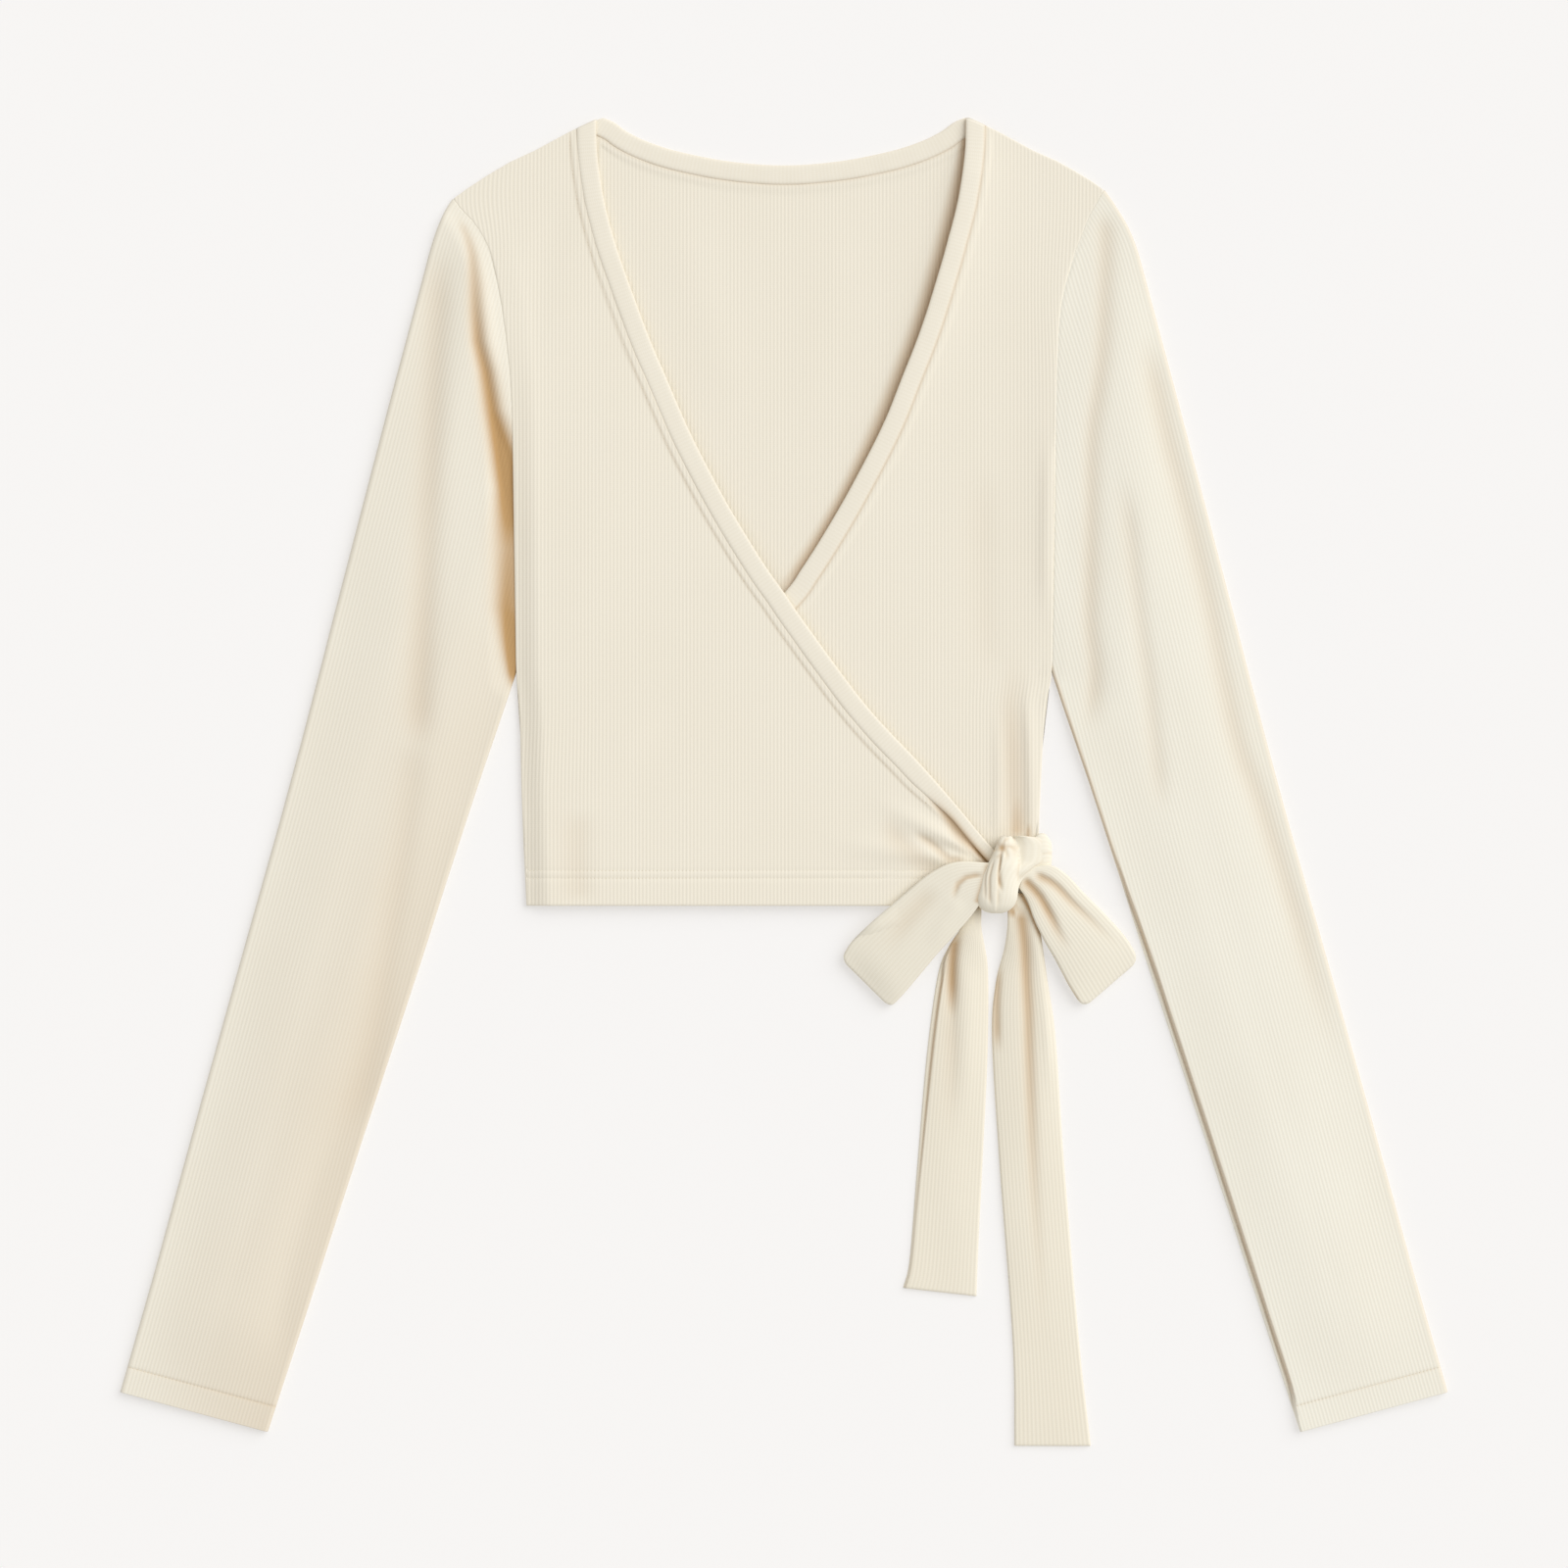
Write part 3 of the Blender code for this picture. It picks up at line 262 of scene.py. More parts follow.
LEFT_CREASE = rows(
    CreaseRow, (313, -174.6, 2.4, 2.4, 0.08), (307.8, -173.6, 2.4, 2.4, 0.21),
    (291.6, -171.2, 3, 3.6, 0.35), (275.4, -170.2, 3.9, 5.2, 0.44), (259.2, -169.4, 4.4, 5.9, 0.53),
    (243, -168.2, 4.2, 6.1, 0.63), (226.8, -164, 4.7, 6, 0.71), (205.2, -160.6, 5.3, 6.4, 0.76),
    (183.6, -155.6, 6.2, 9, 1), (162, -153, 5.9, 14, 0.97), (129.6, -151, 9, 14, 0.63),
    (97.2, -152.6, 7.2, 14, 0.71), (70.2, -149.8, 4.6, 14, 0.9), (58, -148.6, 3.4, 14, 0.9))
GATHERS = rows(
    GatherRow, (132, 66, 1.5, 3.2), (142, 56, -0.6, 2.8), (152, 84, 1.7, 4.4), (163, 56, -0.6, 3.4),
    (173, 104, 1.6, 5.2), (185, 60, -0.4, 3.8))
GATHER_CENTRE = PointRow(116.0, -44.0)

ARMHOLE_PULLS = rows(PullRow, (-154, 255, 1.1), (155, 270, 2))
SLEEVE_LEAN_DEG = 15.1
CUFF_V = -418.2
SLEEVE_EDGES = rows(
    SleeveRow, (-418.2, 181.4, 265.6), (-350, 177.9, 264.6), (-300, 175.5, 264.4), (-250, 173, 264.2),
    (-150, 167.5, 263.3), (-95, 165, 262.6), (-44, 162.3, 262.6), (0, 159.4, 263), (19, 158.4, 263.3),
    (150, 158.4, 264.4), (230, 158.4, 264.6), (236, 158.4, 264.3), (241, 158.4, 263.8), (246, 158.4, 263),
    (250, 158.4, 262.1), (254, 158.4, 261), (258, 158.4, 259.8), (263, 158.4, 258.2), (270, 158.4, 255.6))
KNOT = rows(
    KnotRow, (-28.6, 122.4, 1.6, 1.6, 9), (-29.6, 121.8, 3, 3.2, 15), (-33, 121.5, 4.6, 4.8, 18.2),
    (-38, 120.9, 5.8, 5.8, 17.8), (-42.5, 120, 7.2, 6.3, 16), (-45.5, 119.2, 8, 6.6, 11),
    (-51, 117.7, 8.8, 6.8, 5), (-57, 117.1, 9.7, 6.8, 1.4), (-62.5, 116.7, 10.6, 6.4, 0),
    (-66.8, 116.3, 9.2, 5.4, 0), (-69.6, 116.2, 6.2, 3.6, 0), (-70.9, 116.6, 2.8, 1.8, 0))
LOOP_LEFT = rows(
    LoopRow, (113.2, -43.2, 107.4, -65.8), (94.5, -42.7, 101.8, -73.5), (80, -49, 93.5, -83),
    (64.8, -61.6, 84, -93.5), (48.5, -75.5, 74.5, -105), (37, -87, 65, -116.3), (31.2, -97, 58, -123.4))
LOOP_RIGHT = rows(
    LoopRow, (132.6, -46.2, 129, -57), (145.8, -44.5, 133.5, -64), (155, -49.5, 137.5, -75),
    (165, -60, 143, -86), (176, -71, 149.5, -97), (188, -84.5, 156.5, -110.5), (195.8, -97.5, 165, -124))
TAIL_LEFT = rows(
    TailRow, (-63, 100.5, 108), (-69, 99.3, 108.6), (-79, 97.2, 108.6), (-89, 91, 110.4),
    (-105, 84.8, 112.4), (-150, 78.6, 112), (-210.6, 73.4, 109.2), (-262, 69.2, 106.6),
    (-277.5, 65.6, 106))
TAIL_RIGHT = rows(
    TailRow, (-60, 121.8, 133), (-66, 122.2, 135.8), (-71.2, 123, 138), (-80, 122.8, 140.8),
    (-91.8, 121, 142.7), (-110, 116.6, 145.4), (-140, 114.6, 149.6), (-210.6, 118.8, 154.4),
    (-307.8, 126, 162.6), (-364.5, 127, 169))
STRAP = rows(
    StrapRow, (124, 6.6, -29.6, -57), (128, 6.2, -28.6, -55), (131, 5.9, -28.7, -52.5),
    (135.2, 5.6, -31, -50.2), (140, 5.2, -27.4, -48.6), (143.6, 4.8, -27.4, -47.2),
    (145.6, 3.6, -30.2, -46.2), (145.8, 1.6, -31, -45.8))

# Folds with a rise of 0 are lines of painted shade alone.
OVER_FOLDS = (
    Fold(((-146, -46), (-104, 0), (-62, 43)), 0.7, 9, 12, 20, 40),
    Fold(((70, -26), (81, -32.4), (90.7, -41), (101, -41.6)), -0.8, 2, 2.6, 10, 6, 0.3),
    Fold(((52, -18), (68, -36), (86, -50)), -0.5, 5, 7, 16, 8, 0.15),
    Fold(((-112, -12), (-114, -40), (-112, -66)), -0.45, 7, 9, 14, 6, 0.1),
    Fold(((-70, 250), (-104, 150), (-118, 40)), 0.5, 22, 22, 60, 60),
    Fold(((-120, 330), (-132, 280), (-138, 220)), -0.4, 10, 10, 30, 40),
)
UNDER_FOLDS = (
    Fold(((108, 182), (109, 110), (112, 46)), -0.45, 8, 10, 40, 40, 0.05),
    Fold(((125, 80), (127.6, 20), (130, -31)), -0.3, 7, 6.5, 70, 3, 0.26),
    Fold(((128.6, 14), (129.6, -14), (129.8, -31)), -0.2, 5.2, 4.4, 40, 2, 0.5),
    Fold(((136.6, -20), (136.4, -27), (136, -32)), 0, 1.6, 1.6, 8, 2, 0.6),
    Fold(((134.5, 66), (137, 20), (138.5, -31)), 1.1, 4.6, 3.2, 40, 6),
    Fold(((118, 50), (119.5, 10), (119, -28)), 0.7, 4, 3.6, 40, 6),
    Fold(((146, 200), (144.5, 140), (144, 84)), 0.9, 4.5, 4, 40, 40),
)
BACK_FOLDS = (
    Fold(((-60, 326), (-44, 262), (-20, 190)), 0.4, 14, 16, 40, 50),
    Fold(((30, 322), (26, 262), (10, 180)), 0.3, 16, 16, 40, 50),
)
LEFT_SLEEVE_FOLDS = (
    Fold(((-188.5, 302), (-192, 240), (-194.9, 173.9), (-199.8, 66.4), (-201.4, 13)), -1.3, 8, 9, 40, 30,
         0.18),
    Fold(((-200.4, 40), (-215.5, -70.2), (-229.5, -152.8), (-248, -204)), -1.1, 8, 10, 40, 40, 0.08),
    Fold(((-238, -170), (-267.8, -248.9), (-281.9, -322)), -0.8, 8, 9, 40, 30),
    Fold(((-212, 312), (-222, 200), (-236, 80)), 0.8, 16, 16, 50, 60),
)
RIGHT_SLEEVE_FOLDS = (
    Fold(((176.5, 318), (176.5, 290), (175.6, 262), (174.6, 238), (172, 215), (169, 190), (168.4, 140),
         (168, 90), (170.5, 60), (167, 24)), -0.8, 5.6, 4.8, 16, 30, 0.20),
    Fold(((198, 250), (205, 215), (210.5, 190), (218, 163), (224.6, 138), (229.5, 118), (235.5, 90),
         (241, 60), (250, 20), (262, -11.3), (283.5, -79.4), (307.3, -165.2)), -0.8, 6, 6.6, 34, 110,
         0.18),
    Fold(((186, 172), (190.5, 135), (192.5, 115), (195.5, 90), (199.5, 60), (203.5, 24), (208, -20)),
         -0.7, 5.2, 5.6, 34, 30, 0.13),
    Fold(((190, 300), (196, 200), (204, 90)), 0.6, 12, 12, 50, 60),
)
LEFT_LOOP_FOLDS = (
    Fold(((110, -50), (102.6, -50.8), (97.2, -52.9), (94.5, -57.8), (92.9, -64.8)), -0.9, 1, 1.9, 5, 10,
         0.55),
    Fold(((86, -56), (75, -66), (62, -82), (54, -96)), -0.7, 5, 6, 14, 26, 0.16),
    Fold(((97.5, -62), (88, -76), (78, -90)), 0.5, 4.5, 4.5, 8, 16),
    Fold(((112.6, -42), (110.4, -50), (107.4, -60), (105.5, -66)), 0, 1.8, 1.8, 4, 2, 0.6),
)
RIGHT_LOOP_FOLDS = (
    Fold(((136, -48.8), (141.7, -51), (147, -53.8), (151.2, -57.4), (158, -64.6), (168, -74),
         (178.2, -84), (187, -92)), -1.3, 1.9, 2.9, 6, 60, 0.6),
    Fold(((130.2, -51), (134.2, -54.6), (140, -61), (144, -67.6), (148.2, -75.8), (151.6, -83),
         (158, -93)), -1.5, 2.2, 3, 5, 30, 0.75),
    Fold(((149.5, -101), (156, -112), (162, -120.5)), 0, 1.5, 1.5, 8, 3, 0.5),
)
LEFT_TAIL_FOLDS = (
    Fold(((95, -79), (93.6, -89), (92.8, -101), (92.6, -116), (92.5, -137)), -1.4, 2.8, 3.2, 10, 30,
         0.78),
    Fold(((93, -90), (91.8, -112), (92.5, -150), (90, -205)), -0.7, 3.6, 6, 24, 70, 0.14),
    Fold(((99, -90), (101, -130), (99, -200)), 0.8, 6, 6, 20, 60),
    Fold(((104, -64), (107.6, -67.5), (110.5, -69.5)), 0, 1.4, 1.4, 2, 2, 0.8),
)
RIGHT_TAIL_FOLDS = (
    Fold(((129.6, -68), (130.8, -76), (132.3, -90), (133.2, -106), (134.2, -125), (135.2, -162),
         (138, -230), (144, -322)), -1.7, 3.4, 3.4, 6, 300, 0.76),
    Fold(((118.6, -98), (117.2, -120), (117.6, -150)), -0.9, 2, 3, 12, 16, 0.5),
    Fold(((136, -72), (139.5, -90), (143.5, -121), (147, -180)), 0.9, 2.6, 3.2, 8, 50),
    Fold(((127, -56), (131.5, -62.5), (135.5, -70), (140, -81), (143.8, -90)), 0, 1.3, 1.4, 3, 12, 0.8),
    Fold(((121, -66.5), (125, -69.5), (128, -71)), 0, 3, 2.2, 2, 2, 0.8),
)


# ---- Arithmetic

def clamp01(value: Array) -> Array:
    """Value held between 0 and 1."""
    return np.clip(value, 0, 1)


def ease(value: Array) -> Array:
    """Smooth step from 0 to 1."""
    part = clamp01(value)
    return part * part * (3 - 2 * part)


def bell(value: Array) -> Array:
    """Rounded bump: 1 at 0, and next to nothing past 2."""
    return np.exp(-np.square(value))


def rounded(distance: Array, radius: float) -> Array:
    """Quarter circle: 0 at an edge and 1 from one radius inside it."""
    return np.sqrt(1 - np.square(1 - clamp01(distance / radius)))


def column_of(table: Sequence[Any], name: str) -> Array:
    """One named column of a table."""
    return np.array([getattr(row, name) for row in table], dtype=float)


def lookup(table: Sequence[Any], key: str, value: str, at: Array) -> Array:
    """Straight-line reading of a table.

    Args:
        table: Rows whose key column rises or falls throughout.
        key: Name of the column that is known.
        value: Name of the column that is wanted.
        at: Known values.

    Returns:
        Wanted values.
    """
    keys, values = column_of(table, key), column_of(table, value)
    if keys[0] > keys[-1]:
        keys, values = keys[::-1], values[::-1]
    return np.interp(at, keys, values)


def curve_through(points: Array, at: Array) -> Array:
    """Smooth curve through points.

    Args:
        points: Rows that the curve passes.
        at: Places on it, a whole number at each row.

    Returns:
        A row for each place.
    """
    points = np.asarray(points, dtype=float)
    knots = np.vstack([2 * points[0] - points[1], points, 2 * points[-1] - points[-2]])
    index = np.clip(np.floor(at).astype(int), 0, len(points) - 2)
    part = (at - index)[:, None]
    start, end = knots[index + 1], knots[index + 2]
    leave, arrive = 0.5 * (end - knots[index]), 0.5 * (knots[index + 3] - start)
    square, cube = part * part, part ** 3
    return ((2 * cube - 3 * square + 1) * start + (cube - 2 * square + part) * leave
            + (3 * square - 2 * cube) * end + (cube - square) * arrive)


def spread(table: Sequence[Any], count: int) -> Array:
    """Rows of a smooth curve through a table, spread evenly over it."""
    return curve_through(np.array(table), np.linspace(0, len(table) - 1, count))


def lengths_along(path: Array) -> Array:
    """Length from the start of a path to each of its points."""
    return np.hstack([[0], np.cumsum(np.linalg.norm(np.diff(path, axis=0), axis=1))])


def smooth_path(points: Sequence[Sequence[float]], step: float) -> Array:
    """Evenly spaced points along a smooth curve.

    Args:
        points: Points that the curve passes.
        step: About how far apart its points lie.

    Returns:
        Points of the curve.
    """
    dense = spread(points, 12 * (len(points) - 1) + 1)
    lengths = lengths_along(dense)
    at = np.linspace(0, lengths[-1], max(2, int(round(lengths[-1] / step)) + 1))
    return np.column_stack([np.interp(at, lengths, dense[:, k]) for k in range(dense.shape[1])])


def left_normals(path: Array) -> Array:
    """Unit vectors across a path in plan, to the left of its direction."""
    tangent = np.gradient(path[:, :2], axis=0)
    return np.column_stack([-tangent[:, 1], tangent[:, 0]]) / np.linalg.norm(tangent, axis=1)[:, None]


def beside(path: Array, x: Array, y: Array) -> Pair:
    """Where points lie beside a path in plan.

    Args:
        path: Points of the path.
        x, y: Across and up the drawing.

    Returns:
        Distance from the path, positive on its left, and length along it.
    """
    off, along = np.full(x.shape, np.inf), np.zeros(x.shape)
    passed = 0
    for start, end in zip(path[:-1], path[1:]):
        run = end - start
        length = float(np.hypot(*run))
        dx, dy = x - start[0], y - start[1]
        part = clamp01((dx * run[0] + dy * run[1]) / length ** 2)
        distance = np.hypot(dx - part * run[0], dy - part * run[1])
        closer = distance < np.abs(off)
        side = np.where(run[0] * dy - run[1] * dx >= 0, 1, -1)
        off = np.where(closer, side * distance, off)
        along = np.where(closer, passed + part * length, along)
        passed += length
    return off, along


def folded(folds: Folds, x: Array, y: Array) -> Pair:
    """Height that folds add to cloth, and painted shade in them.

    Args:
        folds: Ridges and troughs.
        x, y: Across and up the drawing.

    Returns:
        Height at each point, and the painted shade there.
    """
    total, tone = np.zeros(x.shape), np.zeros(x.shape)
    for fold in folds:
        path = smooth_path(fold.line, 5)
        reach = FOLD_REACH * max(fold.left, fold.right)
        low, high = path.min(axis=0) - reach, path.max(axis=0) + reach
        near = (x > low[0]) & (x < high[0]) & (y > low[1]) & (y < high[1])
        if not near.any():
            continue
        off, along = beside(path, x[near], y[near])
        length = lengths_along(path)[-1]
        fade = ease(along / fold.start) * ease((length - along) / fold.end)
        shape = fade * bell(off / np.where(off > 0, fold.left, fold.right))
        total[near] += fold.rise * shape
        tone[near] = np.maximum(tone[near], fold.tone * shape)
    return total, tone


def ripple(x: Array, y: Array, size: float, wave: float, seed: int) -> Array:
    """Slow unevenness of cloth that lies on a table.

    Args:
        x, y: Across and up the drawing.
        size: Height of the waves.
        wave: Their usual length.
        seed: Chooses their directions.

    Returns:
        Height at each point.
    """
    draw = np.random.default_rng(seed)
    total = np.zeros(x.shape)
    for _ in range(6):
        turn = draw.uniform(0, math.tau)
        length = wave * draw.uniform(0.7, 1.6)
        phase = draw.uniform(0, math.tau)
        total += np.sin((x * math.cos(turn) + 0.45 * y * math.sin(turn)) * math.tau / length + phase)
    return size * total / 3


# ---- Pattern

class Pattern:
    """Outlines of the cut pieces and the heights of their layers."""

    def __init__(self) -> None:
        """Work out the neck edges and the seams beside them."""
        down = [(row.half_width, row.y) for row in NECKLINE]
        mirrored = [(-x, y) for x, y in down]
        back = [tuple(BACK_NECK_SHOULDER)] + [tuple(row) for row in BACK_NECK[:0:-1]]
        back = [(-x, y) for x, y in back] + [(0, BACK_NECK[0].y)] + back[::-1]
        over = smooth_path(mirrored + [tuple(row) for row in OVER_EDGE_END], 2)
        under = smooth_path(down + [tuple(row) for row in UNDER_EDGE_END], 2)
        self.over_edge, self.under_edge = (
            path + np.outer(self.neck_shift(name, path[:, 1]), (1, 0))
            for name, path in (("over", over), ("under", under)))
        self.back_edge = smooth_path(back, 2)
        self.over_across = self.band_share() * -left_normals(self.over_edge)
        self.under_across = left_normals(self.under_edge)
        self.back_across = self.back_normals()
        reach = BAND_WIDTH - TUCK
        self.over_seam = self.over_edge + reach * self.over_across
        self.under_seam = self.under_edge + reach * self.under_across
        self.back_seam = self.back_edge + reach * self.back_across
        self.armhole = np.array([tuple(row) for row in SIDE_AND_ARMHOLE if row.y >= UNDERARM.y])

    def band_share(self) -> Array:
        """Share of its width that the over band keeps along its edge: it turns on its side at the knot."""
        return 1 - 0.36 * ease((self.over_edge[:, :1] - 74) / 26) * (self.over_edge[:, :1] > 0)

    def back_normals(self) -> Array:
        """Directions across the back band, held beyond the neck points, where it runs under the fronts.

        Returns:
            A unit vector for each point of the edge.
        """
        normals = -left_normals(self.back_edge)
        inside = np.flatnonzero(np.abs(self.back_edge[:, 0]) <= 94)
        return normals[np.clip(np.arange(len(normals)), inside[0], inside[-1])]

    def neck_shift(self, edge: str, y: Array) -> Array:
        """How far a neck edge lies to the right of its mirrored place."""
        return lookup(NECK_SHIFT, "y", edge, y) * (y > NECK_SHIFT[-1].y)

    def settled(self, points: Array) -> Array:
        """Shift the lower sides as the worn body does: both a little to the left.

        Args:
            points: Where they lie in the cut, last axis x, y and z.

        Returns:
            Where they lie on the table.
        """
        x, y = points[..., 0], points[..., 1]
        right = 2.1 * ease((60 - y) / 18) * ease((x - 90) / 50)
        left = 1.3 * ease((42 - y) / 50) * ease((-x - 90) / 50)
        moved = points.copy()
        moved[..., 0] = x - right - left
        return self.drawn(moved)

    def drawn(self, points: Array) -> Array:
        """Shift the armhole seams as the body lies: along the left shoulder, and a little inwards.

        Args:
            points: Where they lie in the cut, last axis x, y and z.

        Returns:
            Where they lie on the table.
        """
        x, y = points[..., 0], points[..., 1]
        tip = bell(np.hypot(x + SHOULDER_TIP, y - self.shoulder(SHOULDER_TIP)) / 22)
        moved = points.copy()
        moved[..., 0] = x - SHOULDER_SLIP[0] * tip
        for row in ARMHOLE_PULLS:
            moved[..., 0] -= row.shift * bell((y - row.y) / 34) * bell((x - row.x) / 14)
        moved[..., 1] = y - SHOULDER_SLIP[1] * tip
        return moved

    def low(self, x: Array) -> Array:
        """Lower outline of the body: hem, side seam or armhole."""
        return lookup(SIDE_AND_ARMHOLE, "half_width", "y", np.abs(x))

    def half_width(self, y: Array) -> Array:
        """Half width of the body at its side seams and armholes."""
        return lookup(SIDE_AND_ARMHOLE, "y", "half_width", y)

    def shoulder(self, x: Array) -> Array:
        """Height of the shoulder line up the drawing."""
        return lookup(SHOULDER, "half_width", "y", np.abs(x))

    def top(self, x: Array, seam: Array) -> Array:
        """Shoulder line, or the neck seam where that is lower.

        Args:
            x: Across the drawing.
            seam: Points of the neck seam.

        Returns:
            Upper outline.
        """
        order = np.argsort(seam[:, 0])
        return np.minimum(self.shoulder(x), np.interp(x, seam[order, 0], seam[order, 1]))

    def edge_distance(self, x: Array, y: Array) -> Array:
        """Distance from the side seam or armhole on the nearer side."""
        return np.maximum(self.half_width(y) - np.abs(x), 0)

    def under_base(self, x: Array, y: Array) -> Array:
        """Underside of the under front and its band.

        Args:
            x, y: Across and up the drawing.

        Returns:
            Height at each point.
        """
        rise = lookup(ARMHOLE_LIFT, "y", "right", y) - UNDER_LEVEL
        at_armhole = rise * bell(self.edge_distance(x, y) / 15)
        off, _ = beside(self.under_edge[::3], x, y)
        at_neck = lookup(NECK_LIFT, "y", "lift", y) * bell(off / 20)
        return UNDER_LEVEL + (at_armhole + at_neck) * (x > 0)

    def over_base(self, x: Array, y: Array) -> Array:
        """Underside of the over front and its band.

        Args:
            x, y: Across and up the drawing.

        Returns:
            Height at each point.
        """
        raised = (OVER_LEVEL - UNDER_LEVEL) * ease((330 - y) / 215)
        rolled = ease((self.edge_distance(x, y) + 0.5) / 14)
        seam = lookup(ARMHOLE_LIFT, "y", "left", y) - UNDER_LEVEL
        at_armhole = seam * bell(self.edge_distance(x, y) / 12) * (x < 0)
        return UNDER_LEVEL + raised * np.maximum(rolled, (x > 0)) + at_armhole

    def gathers(self, x: Array, y: Array) -> Array:
        """Height that the gathers add to the over front beside the knot.

        Args:
            x, y: Across and up the drawing.

        Returns:
            Height at each point.
        """
        dx, dy = x - GATHER_CENTRE.x, y - GATHER_CENTRE.y
        total = np.zeros(x.shape)
        for row in GATHERS:
            angle = math.radians(row.angle_deg)
            along = dx * math.cos(angle) + dy * math.sin(angle)
            off = -dx * math.sin(angle) + dy * math.cos(angle)
            width = np.maximum(row.width * (0.6 + along / row.reach), 0.5)
            fade = ease((along - 8) / 12) * ease((row.reach - along) / (0.7 * row.reach))
            total += row.height * fade * bell(off / width)
        return total * ease((y - HEM_Y - 4) / 16)


# ---- Finishes

def linear(code: str) -> tuple[float, float, float, float]:
    """Linear colour of an sRGB hex code.

    Args:
        code: Six hex digits.

    Returns:
        Red, green, blue and alpha.
    """
    parts = [int(code[k:k + 2], 16) / 255 for k in (0, 2, 4)]
    return (*(p / 12.92 if p <= 0.04045 else ((p + 0.055) / 1.055) ** 2.4 for p in parts), 1)


def feed(tree: Tree, node: bpy.types.Node, inputs: dict[Any, Any]) -> None:
    """Set or link a node's inputs.

    Args:
        tree: Tree that holds the node.
        node: Node that is fed.
        inputs: Value, socket or node for each input, by name or number.
    """
    for key, value in inputs.items():
        if isinstance(value, bpy.types.Node):
            value = value.outputs[0]
        if isinstance(value, Socket):
            tree.links.new(value, node.inputs[key])
        else:
            node.inputs[key].default_value = value


def add_node(tree: Tree, kind: str, inputs: dict[Any, Any] | None = None, **settings: Any) -> bpy.types.Node:
    """Add a node with its settings and links.

    Args:
        tree: Tree that gets the node.
        kind: Blender's name for the kind of node.
        inputs: What feeds each input, by name or number.
        settings: Properties of the node.

    Returns:
        The node.
    """
    node = tree.nodes.new(kind)
    for name, value in settings.items():
        setattr(node, name, value)
    feed(tree, node, inputs or {})
    return node


def blank_material(name: str) -> tuple[bpy.types.Material, Tree, bpy.types.Node]:
    """Start a material.

    Args:
        name: Name of the finish.

    Returns:
        The material, its tree and its shader node.
    """
    material = bpy.data.materials.new(name)
    material.use_nodes = True
    return material, material.node_tree, material.node_tree.nodes["Principled BSDF"]


def raised_cosine(tree: Tree, turn: Socket) -> Socket:
    """Wave from 0 to 1 of an angle, 0 at whole turns.

    Args:
        tree: Tree that gets its nodes.
        turn: Angle in radians.

    Returns:
        The wave.
    """
    cosine = add_node(tree, "ShaderNodeMath", {0: turn}, operation="COSINE")
    return add_node(tree, "ShaderNodeMath", {0: cosine, 1: -0.5, 2: 0.5},
                    operation="MULTIPLY_ADD").outputs[0]


class Slot(Enum):
    """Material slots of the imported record."""

    BODY = "body_rib_jersey"
    INSIDE = "inside_rib_jersey"
    NECKBAND = "neckband_jersey"
    SLEEVE = "sleeve_rib_jersey"
    TIE = "tie_rib_jersey"


class Side(Enum):
    """Side of the garment, with the sign of x there."""

    LEFT = -1
    RIGHT = 1

    @property
    def word(self) -> str:
        """The side in the names of pieces."""
        return self.name.lower()


